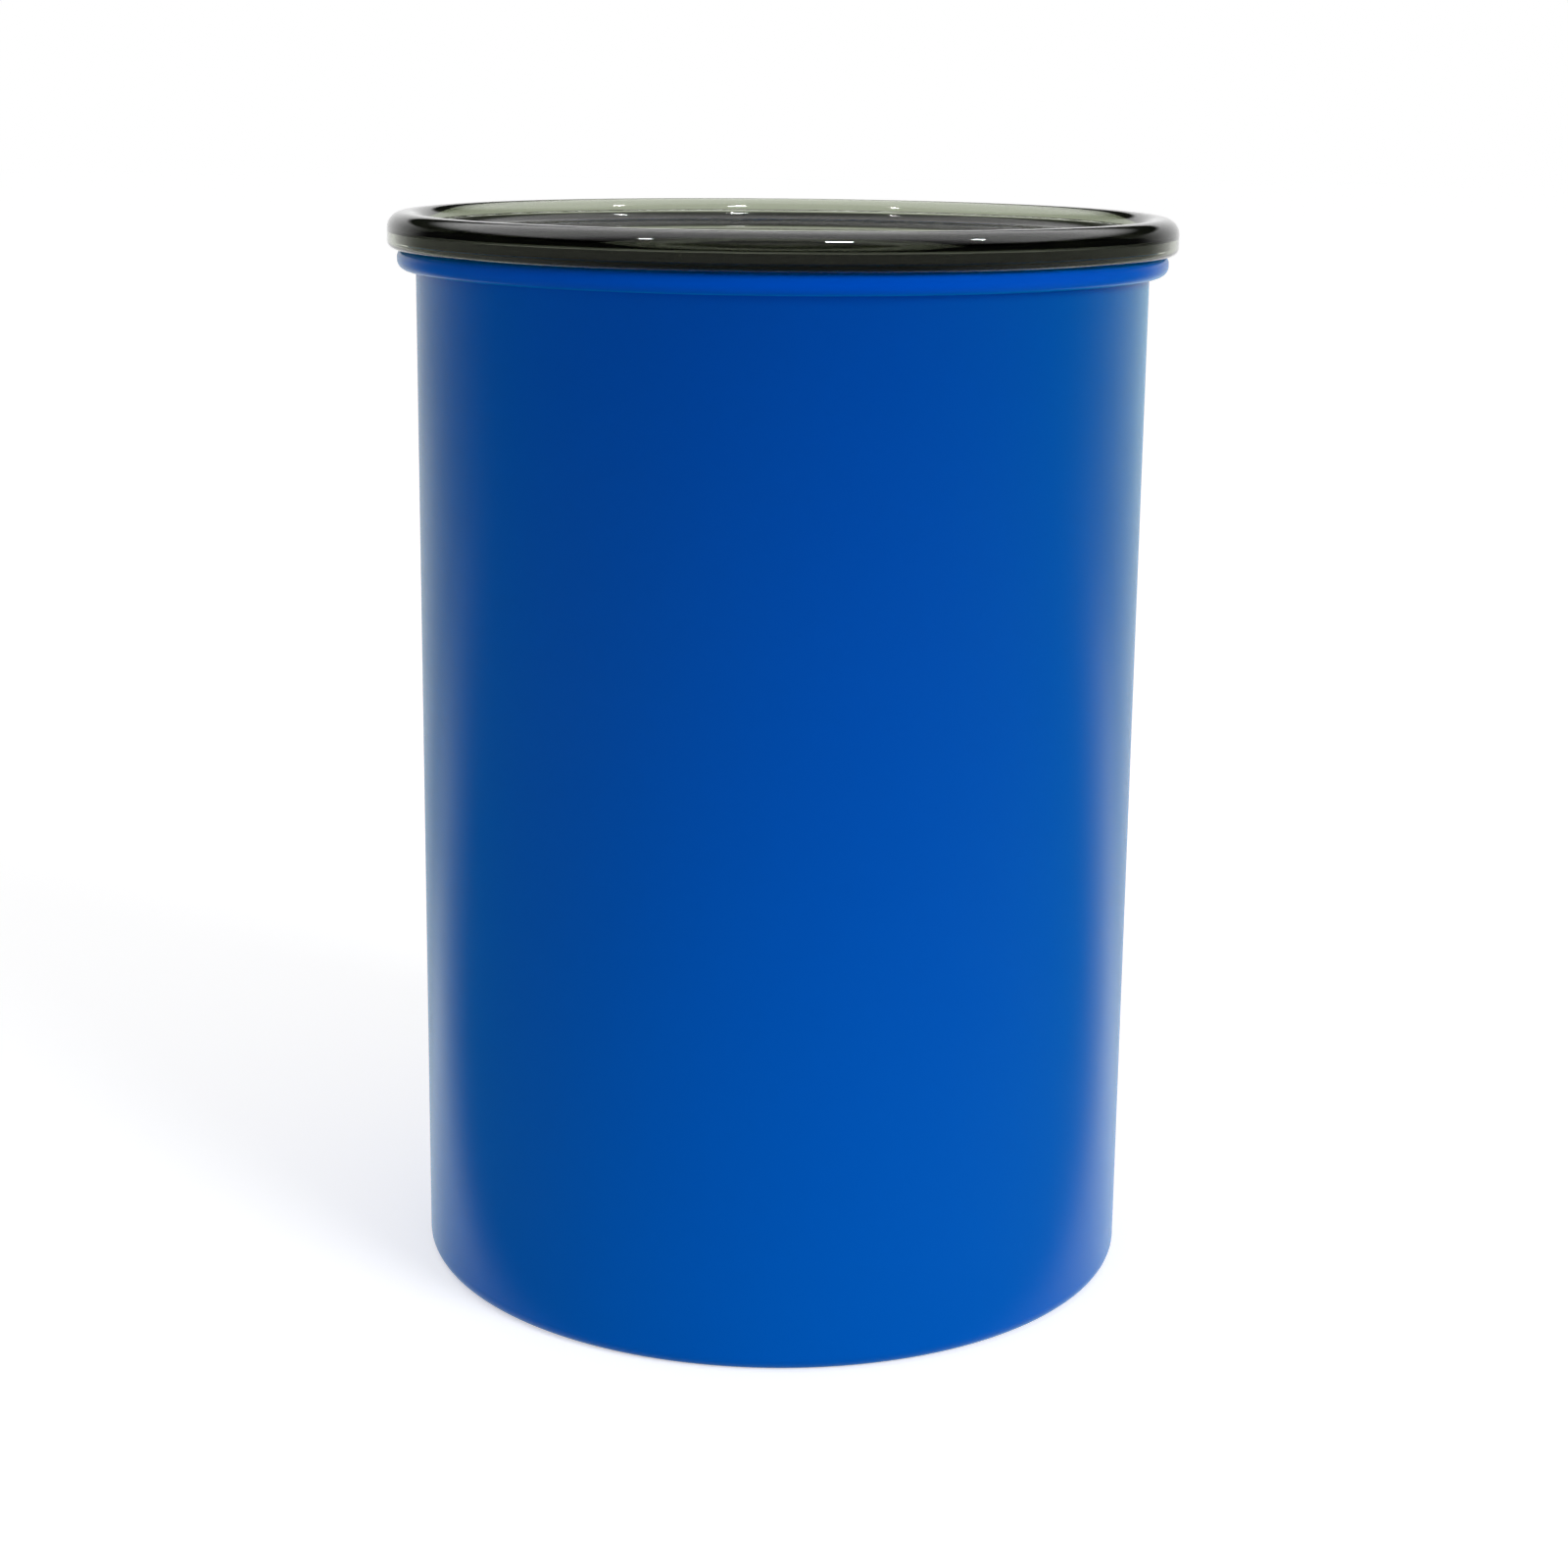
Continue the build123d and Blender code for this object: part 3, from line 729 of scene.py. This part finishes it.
def edge_wear_group():
    """Mask of edges that hands and tools rub, broken up by noise."""
    group, given = new_shader_group("edge wear", Width=0.3 * MM, Breakup=900.0)
    soft = shading(group, "Bevel", {"Radius": given["Width"]}, samples=4)
    real = add_node(group, "ShaderNodeNewGeometry").outputs["Normal"]
    match = add_node(group, "ShaderNodeVectorMath", {0: soft, 1: real}, operation="DOT_PRODUCT")
    bend = ranged(group, match.outputs["Value"], 1.0, 0.9)
    patches = ranged(group, noise(group, object_place(group), given["Breakup"], 3.0), 0.42, 0.62)
    return end_group(group, Worn=times(group, bend, patches))


def mould_grain_group():
    """Fine spark texture of a mould and the broad uneven gloss that comes with it."""
    group, given = new_shader_group("mould grain", Grain=2600.0, Patch=45.0)
    place = object_place(group)
    grain = noise(group, place, given["Grain"], 2.0)
    gloss = ranged(group, noise(group, place, given["Patch"], 4.0), 0.3, 0.7)
    return end_group(group, Height=grain, Gloss=gloss)


def handling_group():
    """Hair-fine scratches and faint smudges left by handling and wiping."""
    group, given = new_shader_group("handling marks", Scratch=500.0, Smudge=30.0)
    place = object_place(group)
    drawn = {"Vector": place, "Rotation": (0.4, 0.9, 0.6), "Scale": (1.0, 0.03, 0.4)}
    lines = noise(group, shading(group, "Mapping", drawn), given["Scratch"], 3.0, 0.7)
    smudges = ranged(group, noise(group, place, given["Smudge"], 5.0, 0.6), 0.45, 0.75)
    return end_group(group, Scratches=ranged(group, lines, 0.62, 0.72), Smudges=smudges)


def blue_satin_paint():
    """Satin blue coat: a fine orange peel, a cyan lift towards its edges, slight handling marks, and painted
    floor bounce that makes its foot brighter.
    """
    material, tree, shader = new_material("blue satin paint")
    place = object_place(tree)
    marks = placed_group(tree, HANDLING, Scratch=260.0, Smudge=18.0)
    cloud = ranged(tree, noise(tree, place, 14.0, 4.0), 0.3, 0.7)
    # Painted floor bounce: the blue is mixed brighter towards the foot and fades out higher up
    low = ranged(tree, parts(tree, place)["Z"], 0.0, PAINTED_BOUNCE_TOP, 0.9, 0.0)
    tone_and_painted_bounce = maths(tree, "MULTIPLY_ADD", cloud, 0.1, low)
    rough = ranged(tree, cloud, 0.0, 1.0, 0.18, 0.22)
    wiped = maths(tree, "MULTIPLY_ADD", marks["Smudges"], 0.05, rough)
    set_values(tree, shader, Base_Color=blended(tree, tone_and_painted_bounce, BLUE_HIGH, BLUE_TONE_AND_PAINTED_BOUNCE), Roughness=wiped)
    set_values(tree, shader, IOR=1.5, Specular_IOR_Level=0.15, Specular_Tint=BLUE_GLINT)
    set_values(tree, shader, Sheen_Weight=0.26, Sheen_Roughness=0.47, Sheen_Tint=BLUE_SHEEN)
    bumped(tree, shader, noise(tree, place, 900.0), 0.04, 0.02 * MM)
    return material


def bare_steel():
    """Bare drawn steel with fine rings round the wall."""
    material, tree, shader = new_material("bare drawn steel")
    rings = noise(tree, stretched(tree, object_place(tree), 30.0, 30.0, 4000.0), 1.0, 3.0)
    marks = placed_group(tree, HANDLING, Scratch=320.0, Smudge=26.0)
    dull = ranged(tree, marks["Smudges"], 0.0, 1.0, 0.0, 0.5)
    rough = ranged(tree, rings, 0.3, 0.7, 0.22, 0.38)
    wiped = maths(tree, "MULTIPLY_ADD", marks["Smudges"], 0.08, rough)
    colour = blended(tree, dull, CLEAN_STEEL, DULL_STEEL)
    set_values(tree, shader, Base_Color=colour, Metallic=1.0, Roughness=wiped)
    bumped(tree, shader, rings, 0.15, 0.02 * MM)
    return material


def smoke_clear():
    """Clear smoke-grey moulded plastic, tinted through its thickness."""
    material, tree, shader = new_material("clear smoke plastic")
    marks = placed_group(tree, HANDLING, Scratch=420.0, Smudge=22.0)
    wiped = ranged(tree, marks["Smudges"], 0.0, 1.0, 0.025, 0.045)
    rough = maths(tree, "MULTIPLY_ADD", marks["Scratches"], 0.04, wiped)
    set_values(tree, shader, Base_Color=SMOKE_SURFACE, Roughness=rough, IOR=1.52, Transmission_Weight=1.0)
    depth = shading(tree, "VolumeAbsorption", {"Color": SMOKE_DEPTH, "Density": 260.0})
    set_values(tree, tree.nodes["Material Output"], Volume=depth)
    return material


def black_silicone():
    """Soft black silicone, matt, with the dust that it holds."""
    material, tree, shader = new_material("black silicone")
    place = object_place(tree)
    dust = ranged(tree, noise(tree, place, 1500.0, 2.0, 0.7), 0.66, 0.74)
    colour = blended(tree, dust, SILICONE_BLACK, SILICONE_DUST)
    rough = ranged(tree, noise(tree, place, 60.0, 3.0), 0.3, 0.7, 0.5, 0.64)
    set_values(tree, shader, Base_Color=colour, Roughness=rough)
    bumped(tree, shader, noise(tree, place, 3200.0), 0.12, 0.02 * MM)
    return material


def moulded_plastic(name, colour, worn_colour, rough):
    """Moulded plastic with spark grain, uneven gloss, rubbed edges and handling marks."""
    material, tree, shader = new_material(name)
    wear = placed_group(tree, EDGE_WEAR, Width=0.3 * MM, Breakup=900.0)
    skin = placed_group(tree, MOULD_GRAIN, Grain=2600.0, Patch=45.0)
    marks = placed_group(tree, HANDLING, Scratch=600.0, Smudge=35.0)
    rubbed = maths(tree, "MULTIPLY_ADD", marks["Scratches"], 0.15, wear["Worn"], use_clamp=True)
    level = ranged(tree, skin["Gloss"], 0.0, 1.0, rough - 0.05, rough + 0.06)
    wiped = maths(tree, "MULTIPLY_ADD", marks["Smudges"], -0.06, level)
    set_values(tree, shader, Base_Color=blended(tree, rubbed, colour, worn_colour), Roughness=wiped)
    bumped(tree, shader, skin["Height"], 0.22, 0.03 * MM)
    return material


def turned_steel(name, colour, rough, stretch):
    """Machined stainless steel with tool lines, and a brighter rub along its edges."""
    material, tree, shader = new_material(name)
    lines = noise(tree, stretched(tree, object_place(tree), *stretch), 1.0, 3.0)
    worn = placed_group(tree, EDGE_WEAR, Width=0.2 * MM, Breakup=1400.0)["Worn"]
    bright = tuple(min(1.0, c * 1.25) for c in colour[:3]) + (1,)
    level = ranged(tree, lines, 0.3, 0.7, rough - 0.06, rough + 0.08)
    polished = maths(tree, "MULTIPLY_ADD", worn, -0.08, level)
    mixed = blended(tree, worn, colour, bright)
    set_values(tree, shader, Base_Color=mixed, Metallic=1.0, Roughness=polished)
    bumped(tree, shader, lines, 0.1, 0.01 * MM)
    return material


def can_body(paint, steel):
    """The drawn can with its rolled rim, painted outside and bare inside."""
    low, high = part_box("canister_shell")
    top = high.z
    outer = CAN_RADIUS + SHEET
    ring_edge = CAN_RADIUS - BASE_RING
    rim_end = RIM_WIDTH / 2
    rim_base = top - RIM_HEIGHT
    lip = CAN_RADIUS + RIM_LIP_WIDTH
    shoulder = rim_base + ROLL_HEIGHT
    tuck = outer + RIM_TUCK
    painted = [
        (0, low.z + BASE_RISE, 0),
        (ring_edge - BASE_SLOPE, low.z + BASE_RISE, BASE_SLOPE),
        (ring_edge, low.z, BASE_SLOPE),
        (outer, low.z, BASE_ROUND),
        (outer, rim_base + RIM_TUCK_DEPTH, 0),
        (tuck, rim_base + RIM_TUCK_DEPTH, 0),
        (tuck, rim_base + rim_end / 2, SMALL_ROUND),
        (tuck + rim_end / 3, rim_base, rim_end / 4),
        (CAN_RADIUS + RIM_WIDTH, rim_base, ROLL_ROUND),
        (CAN_RADIUS + RIM_WIDTH, shoulder, SHOULDER_ROUND),
        (lip, shoulder, SMALL_ROUND),
        (lip, top, RIM_LIP_WIDTH / 2),
    ]
    over_top = (CAN_RADIUS, top, RIM_LIP_WIDTH / 2)
    bare = [
        (CAN_RADIUS, low.z + SHEET, BASE_ROUND - SHEET),
        (ring_edge, low.z + SHEET, BASE_SLOPE),
        (ring_edge - BASE_SLOPE, low.z + BASE_RISE + SHEET, BASE_SLOPE),
        (0, low.z + BASE_RISE + SHEET, 0),
    ]
    corners = [*painted, over_top, *bare]
    inside_points = (len(bare) - 1) * CORNER_POINTS + 1
    first_bare = len(outline(corners)) - inside_points - 1
    piece = turned("can_body", corners, paint, CAN_AROUND, False, first_bare, steel)
    fitted(piece, "canister", "painted_shell", "canister_shell")


def clear_lid(material):
    """The clear outer lid: flat recessed middle, thick rounded crown, skirt, seal channel and plug."""
    low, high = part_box("lid_cover")
    can_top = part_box("canister_shell")[1].z
    top = high.z
    skirt = can_top - SKIRT_DROP
    channel = top - CROWN_THICKNESS
    plug = CAN_RADIUS - PLUG_GAP
    plug_inner = plug - PLUG_WALL
    recess = CAN_RADIUS - RECESS_INSET
    floor = top - RECESS_DEPTH
    skirt_inner = CAN_RADIUS + RIM_WIDTH + SKIRT_GAP
    corners = [
        (0, floor, 0),
        (recess - RECESS_DRAFT, floor, RECESS_ROUND),
        (recess, top, CROWN_INNER_ROUND),
        (high.x, top, CROWN_ROUND),
        (high.x, skirt, SKIRT_ROUND),
        (skirt_inner, skirt, TINY_ROUND),
        (skirt_inner, channel, CHANNEL_ROUND),
        (plug, channel, SMALL_ROUND),
        (plug, low.z, PLUG_ROUND),
        (plug_inner, low.z, PLUG_ROUND),
        (plug_inner, floor - LID_FLOOR, PLUG_ROUND),
        (0, floor - LID_FLOOR, 0),
    ]
    piece = turned("clear_lid", corners, material, closed=False)
    fitted(piece, "outer_lid", "smoke_plastic", "lid_cover")


def seal_ring(material):
    """Black ring pressed into the roof of the outer lid's channel, where the clear crown shows it."""
    low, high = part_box("lid_seal_ring")
    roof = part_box("lid_cover")[1].z - CROWN_THICKNESS + RING_PRESS
    inner = CAN_RADIUS - PLUG_GAP + RING_GAP
    corners = [
        (inner, low.z, SMALL_ROUND),
        (high.x, low.z, SMALL_ROUND),
        (high.x, roof, TINY_ROUND),
        (inner, roof, TINY_ROUND),
    ]
    piece = turned("seal_ring", corners, material)
    fitted(piece, "outer_lid", "black_silicone", "lid_seal_ring")


def inner_lid_plate(material, plate_top):
    """The inner lid's dish with its rim, the bosses over its screws and the ears that carry the axle."""
    plate_base = plate_top - PLATE_THICKNESS
    rim_top = plate_base + PLATE_RIM_HEIGHT
    rim_inner = PLATE_RADIUS - PLATE_RIM_WALL
    corners = [
        (BARREL_HOLE, plate_base, 0),
        (PLATE_RADIUS, plate_base, SMALL_ROUND),
        (PLATE_RADIUS, rim_top, PLATE_ROUND),
        (rim_inner, rim_top, PLATE_ROUND / 2),
        (rim_inner, plate_top, PLATE_ROUND),
        (STEP_OUTER, plate_top, SMALL_ROUND),
        (STEP_OUTER, plate_top + STEP_HEIGHT, SMALL_ROUND),
        (STEP_INNER, plate_top + STEP_HEIGHT, TINY_ROUND),
        (STEP_INNER, plate_top, SMALL_ROUND),
        (BARREL_HOLE, plate_top, SMALL_ROUND),
    ]
    dish = turned("inner_lid_plate", corners, material, CAN_AROUND)
    fitted(dish, "plunger", "black_plastic", "plunger_plate")
    boss = [
        (0, BOSS_HEIGHT, 0),
        (BOSS_RADIUS, BOSS_HEIGHT, BOSS_ROUND),
        (BOSS_RADIUS, -BOSS_SINK, BOSS_ROUND),
        (BOSS_RADIUS + BOSS_FOOT, -BOSS_SINK, 0),
        (BOSS_RADIUS + BOSS_FOOT, -STEP_HEIGHT, 0),
        (0, -STEP_HEIGHT, 0),
    ]
    values = {"Around": BOSS_AROUND, "Seat": plate_top, "Material": material, **PLATE_SCREW_PLACES}
    bosses = grown("screw_bosses", outline(boss), POSTS, **values)
    fitted(outward(bosses), "plunger", "black_plastic")
    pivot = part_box("plunger_plate")[1].z - EAR_RADIUS
    for side, word in ((-1, "left"), (1, "right")):
        ear = axle_ear(word + "_axle_ear", side, pivot, plate_base, material)
        fitted(ear, "plunger", "black_plastic")


def axle_ear(name, side, pivot, base, material):
    """Round-headed lug that stands on the plate and carries one end of the axle in its hole."""
    work = bmesh.new()
    loops = []
    for x in (side * EAR_INNER, side * (EAR_INNER + EAR_THICKNESS)):
        hole, edge = [], []
        for i in range(EAR_STEPS):
            angle = FULL_TURN * i / EAR_STEPS
            y, z = math.cos(angle), math.sin(angle)
            reach = EAR_RADIUS
            if z < 0:
                reach = min(EAR_RADIUS / max(abs(y), MERGE), (pivot - base) / -z)
            hole.append(work.verts.new((x, y * AXLE_HOLE, pivot + z * AXLE_HOLE)))
            edge.append(work.verts.new((x, y * reach, pivot + z * reach)))
        loops += [hole, edge]
    for first, second in ((0, 1), (1, 3), (3, 2), (2, 0)):
        for i in range(EAR_STEPS):
            after = (i + 1) % EAR_STEPS
            corners = (loops[first][i], loops[first][after], loops[second][after], loops[second][i])
            work.faces.new(corners)
    bmesh.ops.recalc_face_normals(work, faces=work.faces)
    mesh = bpy.data.meshes.new(name)
    work.to_mesh(mesh)
    work.free()
    return eased(name, mesh, material, EASE)


def wiper(material):
    """The wiper that the plates clamp, with its lip turned up against the wall."""
    low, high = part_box("wiper_gasket")
    plate_base = high.z - LIP_HEIGHT
    corners = [
        (GASKET_INNER_RADIUS, low.z, 0),
        (high.x - LIP_HEEL, low.z, GASKET_ROUND),
        (high.x, low.z + LIP_LAND, GASKET_ROUND),
        (high.x, high.z - LIP_TIP, GASKET_ROUND),
        (high.x - LIP_TIP, high.z, GASKET_ROUND),
        (high.x - LIP_THICKNESS, high.z - LIP_TIP, GASKET_ROUND / 2),
        (LIP_INNER_RADIUS, plate_base, GASKET_ROUND),
        (GASKET_INNER_RADIUS, plate_base, 0),
    ]
    piece = turned("wiper", corners, material, CAN_AROUND)
    fitted(piece, "plunger", "black_silicone", "wiper_gasket")


def flat_ring(name, node, inner, material, body, slot):
    """Square-section ring with eased edges that fills a node's height and width."""
    low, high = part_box(node)
    places = ((inner, low.z), (high.x, low.z), (high.x, high.z), (inner, high.z))
    corners = [(radius, height, SMALL_ROUND) for radius, height in places]
    piece = turned(name, corners, material, RETAINER_AROUND)
    fitted(piece, body, slot, node)


def flat_rings(soft, hard):
    """The flat seal under the barrel's nut, the ring that holds the filter, and the valve's flap."""
    flat_ring("barrel_seal", "housing_seal", BARREL_RADIUS, soft, "plunger", "black_silicone")
    retainer_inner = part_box("mesh_retainer")[1].x - RETAINER_WIDTH
    flat_ring("filter_ring", "mesh_retainer", retainer_inner, hard, "plunger", "grey_plastic")
    flat_ring("valve_flap", "valve_disc", STEM_RADIUS + FIT_GAP, soft, "valve", "black_silicone")


def plate_ribs(material, plate_top, lower_face):
    """Stiffening ribs that run out to nothing, on the plate's dish and under the clamp plate."""
    sets = (
        ("dish_ribs", RIB_INNER, RIB_OUTER, plate_top),
        ("clamp_plate_ribs", LOWER_RIB_INNER, LOWER_RIB_OUTER, lower_face),
    )
    for name, inner, outer, height in sets:
        values = {"Count": RIB_COUNT, "Start": math.pi / RIB_COUNT, "Radius": RIB_RADIUS}
        values.update(Inner=inner, Outer=outer, Height=height, Material=material)
        fitted(outward(grown(name, None, SPOKES, **values)), "plunger", "black_plastic")


def screw_set(name, node, radii, length, **values):
    """One set of slotted screws with pan heads; the values say how many there are, where, and how turned."""
    radius, head_radius = radii
    chamfer = radius / 3
    corners = [
        (0, -length, 0),
        (radius - chamfer, -length, 0),
        (radius, chamfer - length, 0),
        (radius, 0, 0),
        (head_radius, 0, TINY_ROUND),
        (head_radius, SCREW_HEAD_HEIGHT, SCREW_HEAD_HEIGHT / 2),
        (0, SCREW_HEAD_HEIGHT, 0),
    ]
    values.update(Around=SCREW_AROUND, Head_Height=SCREW_HEAD_HEIGHT, **SCREW_SLOT)
    values["Head_Width"] = 3 * head_radius
    fitted(outward(grown(name, outline(corners), SCREWS, **values)), "plunger", "plain_steel", node)


def screw_sets(material, lower_face):
    """Six screws up through the plates and four down through the cap."""
    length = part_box("plate_screws")[1].z - lower_face
    values = {"Seat": lower_face, "Lean": math.pi, "Seed": PLATE_SCREW_SEED, "Material": material}
    screw_set("clamp_screws", "plate_screws", PLATE_SCREW_RADII, length, **PLATE_SCREW_PLACES, **values)
    low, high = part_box("cover_screws")
    seat = high.z - SCREW_HEAD_HEIGHT
    values = {"Seat": seat, "Lean": 0.0, "Seed": CAP_SCREW_SEED, "Material": material}
    screw_set("cap_screws", "cover_screws", CAP_SCREW_RADII, seat - low.z, **CAP_SCREW_PLACES, **values)


def woven_filter(material):
    """Woven wire disc in the barrel's foot."""
    low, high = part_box("filter_mesh")
    values = {"Radius": high.x - FIT_GAP, "Pitch": WIRE_PITCH, "Wire": (high.z - low.z) / 4}
    values.update(Height=(high.z + low.z) / 2, Material=material)
    fitted(grown("woven_filter", None, WOVEN, **values), "plunger", "plain_steel", "filter_mesh")


def closing_spring(material):
    """Spring that closes the valve, made at one fixed length."""
    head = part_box("valve_stem")[1].z - STEM_HEAD_THICKNESS
    base = head - SPRING_LENGTH + SPRING_GAP
    length = SPRING_LENGTH - 2 * SPRING_GAP
    piece = grown("closing_spring", None, COIL, Length=length, Base=base, Material=material, **SPRING)
    fitted(outward(piece), "plunger", "plain_steel", "valve_spring")
    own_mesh(piece)


def grip_ridges(material):
    """Low ridges across both faces of the handle's grip."""
    low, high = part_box("handle_bail")
    pivot = (low.z + high.z) / 2
    half = HANDLE_THICKNESS / 2
    for name, height in (("upper_grip_ridges", pivot + half), ("lower_grip_ridges", pivot - half)):
        values = {"Y": low.y + GRIP_DEPTH / 2, "Z": height, "Material": material, **GRIP_RIDGES}
        fitted(outward(grown(name, None, RIDGE_ROW, **values)), "handle", "black_plastic")


def make_camera():
    """Camera at the photograph's place, with its roll and its small shift."""
    data = bpy.data.cameras.new("camera")
    camera = new_object("camera", data)
    data.sensor_width = SENSOR_WIDTH
    data.lens = FOCAL_PIXELS / FRAME_PIXELS * SENSOR_WIDTH
    data.shift_x = (FRAME_PIXELS / 2 - CENTRE_PIXEL[0]) / FRAME_PIXELS
    data.shift_y = (CENTRE_PIXEL[1] - FRAME_PIXELS / 2) / FRAME_PIXELS
    data.clip_start, data.clip_end = 0.01, 50
    level = math.cos(CAMERA_PITCH)
    sideways, ahead = math.sin(CAMERA_YAW) * level, math.cos(CAMERA_YAW) * level
    forward = Vector((sideways, ahead, -math.sin(CAMERA_PITCH)))
    right = Vector((math.cos(CAMERA_YAW), -math.sin(CAMERA_YAW), 0))
    up = right.cross(forward)
    rolled_right = right * math.cos(CAMERA_ROLL) + up * math.sin(CAMERA_ROLL)
    rolled_up = up * math.cos(CAMERA_ROLL) - right * math.sin(CAMERA_ROLL)
    turn = Matrix((rolled_right, rolled_up, -forward)).transposed()
    camera.matrix_world = Matrix.Translation(CAMERA_PLACE) @ turn.to_4x4()
    bpy.context.scene.camera = camera


def soft_lamp(name, place, width, height, power, target):
    """Oval soft lamp aimed at a point."""
    data = bpy.data.lights.new(name, "AREA")
    data.shape = "ELLIPSE"
    data.size, data.size_y, data.energy = width, height, power
    lamp = new_object(name, data)
    lamp.location = place
    lamp.rotation_euler = (Vector(target) - Vector(place)).to_track_quat("-Z", "Y").to_euler()
    lamp.visible_transmission = False
    return lamp


def make_lamps():
    """One broad lamp that gloss doesn't show, and three small ones that only gloss shows."""
    soft_lamp(*KEY_LAMP).visible_glossy = False
    for spot in SPOTS:
        soft_lamp(*spot).visible_diffuse = False


def make_world():
    """White for the camera and an even room for soft light.

    Gloss sees a low white sweep behind, a ceiling that is brighter at the back, and darkness in front.
    Glass sees white beyond it that dims towards the front.
    """
    world = bpy.data.worlds.new("studio")
    bpy.context.scene.world = world
    world.use_nodes = True
    tree = world.node_tree
    path = add_node(tree, "ShaderNodeLightPath").outputs
    sight = parts(tree, add_node(tree, "ShaderNodeTexCoord").outputs["Generated"])
    behind = smooth_range(tree, sight["Y"], *SWEEP_BY_Y)
    low = smooth_range(tree, sight["Z"], *SWEEP_BY_Z)
    high = smooth_range(tree, sight["Z"], *CEILING_BY_Z)
    over = smooth_range(tree, sight["Y"], *CEILING_BY_Y)
    studio = maths(tree, "ADD", times(tree, behind, low), times(tree, high, over))
    beyond = smooth_range(tree, sight["Y"], *THROUGH_LID_BY_Y)
    unscattered = maths(tree, "LESS_THAN", path["Diffuse Depth"], 0.5)
    mirrored = times(tree, unscattered, path["Is Glossy Ray"])
    through = times(tree, unscattered, path["Is Transmission Ray"])
    room = between(tree, mirrored, ROOM_LIGHT, studio)
    glazed = between(tree, through, room, beyond)
    level = between(tree, path["Is Camera Ray"], glazed, 1.0)
    set_values(tree, tree.nodes["Background"], Color=WHITE, Strength=level)


def make_floor():
    """Pale floor that keeps the shadow, glows towards camera and glass, and is clear from below.

    Gloss sees it white behind the object and close by, and dark in front.
    """
    mesh = bpy.data.meshes.new("floor")
    sides = ((-1, -1), (1, -1), (1, 1), (-1, 1))
    mesh.from_pydata([(x * FLOOR_REACH, y * FLOOR_REACH, 0) for x, y in sides], [], [(0, 1, 2, 3)])
    floor = new_object("floor", mesh)
    material, tree, shader = new_material("pale floor")
    path = add_node(tree, "ShaderNodeLightPath").outputs
    mirrored = path["Is Glossy Ray"]
    place = object_place(tree)
    distance = distance_of(tree, place)
    back = maths(tree, "DIVIDE", parts(tree, place)["Y"], distance)
    near = maths(tree, "POWER", maths(tree, "DIVIDE", WHITE_FLOOR_NEAR, distance), 2.0)
    white = smooth_range(tree, maths(tree, "ADD", back, near), *WHITE_FLOOR_BY_Y)
    dark = maths(tree, "SUBTRACT", mirrored, white, use_clamp=True)
    shown = maths(tree, "MAXIMUM", path["Is Camera Ray"], path["Is Transmission Ray"])
    seen = maths(tree, "MAXIMUM", shown, times(tree, mirrored, white))
    shade = between(tree, dark, FLOOR_SHADE, DARK_ROOM)
    set_values(tree, shader, Base_Color=shade, Roughness=0.9, Specular_IOR_Level=0.0)
    glow = times(tree, seen, FLOOR_GLOW)
    set_values(tree, shader, Emission_Color=WHITE, Emission_Strength=glow)
    below = add_node(tree, "ShaderNodeNewGeometry").outputs["Backfacing"]
    links = {0: below, 1: shader.outputs[0], 2: shading(tree, "BsdfTransparent")}
    set_values(tree, tree.nodes["Material Output"], Surface=shading(tree, "MixShader", links))
    mesh.materials.append(material)


bpy.context.scene.view_settings.view_transform = "Standard"
make_camera()
make_world()
make_floor()
make_lamps()

TURNED = turned_tree()
SCREWS = screw_tree()
POSTS = posts_tree()
RIDGE = ridge_tree()
SPOKES = spokes_tree()
RIDGE_ROW = ridge_row_tree()
WIRES = wires_tree()
WOVEN = woven_tree()
COIL = coil_tree()
EDGE_WEAR = edge_wear_group()
MOULD_GRAIN = mould_grain_group()
HANDLING = handling_group()

silicone = black_silicone()
black = moulded_plastic("black moulded plastic", BLACK_PLASTIC, BLACK_RUBBED, 0.42)
grey = moulded_plastic("grey moulded plastic", GREY_PLASTIC, GREY_RUBBED, 0.36)
screw_steel = turned_steel("screw steel", SCREW_STEEL, 0.34, (900.0, 900.0, 900.0))
axle_steel = turned_steel("axle steel", AXLE_STEEL, 0.2, (4000.0, 60.0, 60.0))
wire_steel = turned_steel("wire steel", DULL_STEEL, 0.26, (600.0, 600.0, 600.0))

can_body(blue_satin_paint(), bare_steel())
clear_lid(smoke_clear())
seal_ring(silicone)

plate_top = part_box("housing_nut")[0].z
lower_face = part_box("plunger_lower_plate")[0].z
SMOOTHED = (
    ("clamp_plate", "plunger_lower_plate", black, "plunger", "black_plastic", EASE),
    ("valve_barrel", "valve_housing", grey, "plunger", "grey_plastic", EASE),
    ("barrel_nut", "housing_nut", grey, "plunger", "grey_plastic", EASE),
    ("vent_cap", "hub_cover", black, "plunger", "black_plastic", EASE),
    ("fold_handle", "handle_bail", black, "handle", "black_plastic", FINE_EASE),
    ("pivot_axle", "handle_axle", axle_steel, "handle", "plain_steel", FINE_EASE),
    ("lift_cam", "valve_cam", grey, "handle", "grey_plastic", FINE_EASE),
    ("poppet_stem", "valve_stem", grey, "valve", "grey_plastic", FINE_EASE),
    ("retaining_clip", "stem_clip", wire_steel, "valve", "plain_steel", FINE_EASE),
)
for name, node, material, body, slot, ease in SMOOTHED:
    fitted(smoothed(name, node, material, ease), body, slot, node)

inner_lid_plate(black, plate_top)
wiper(silicone)
flat_rings(silicone, grey)
plate_ribs(black, plate_top, lower_face)
screw_sets(screw_steel, lower_face)
woven_filter(wire_steel)
closing_spring(wire_steel)
grip_ridges(black)
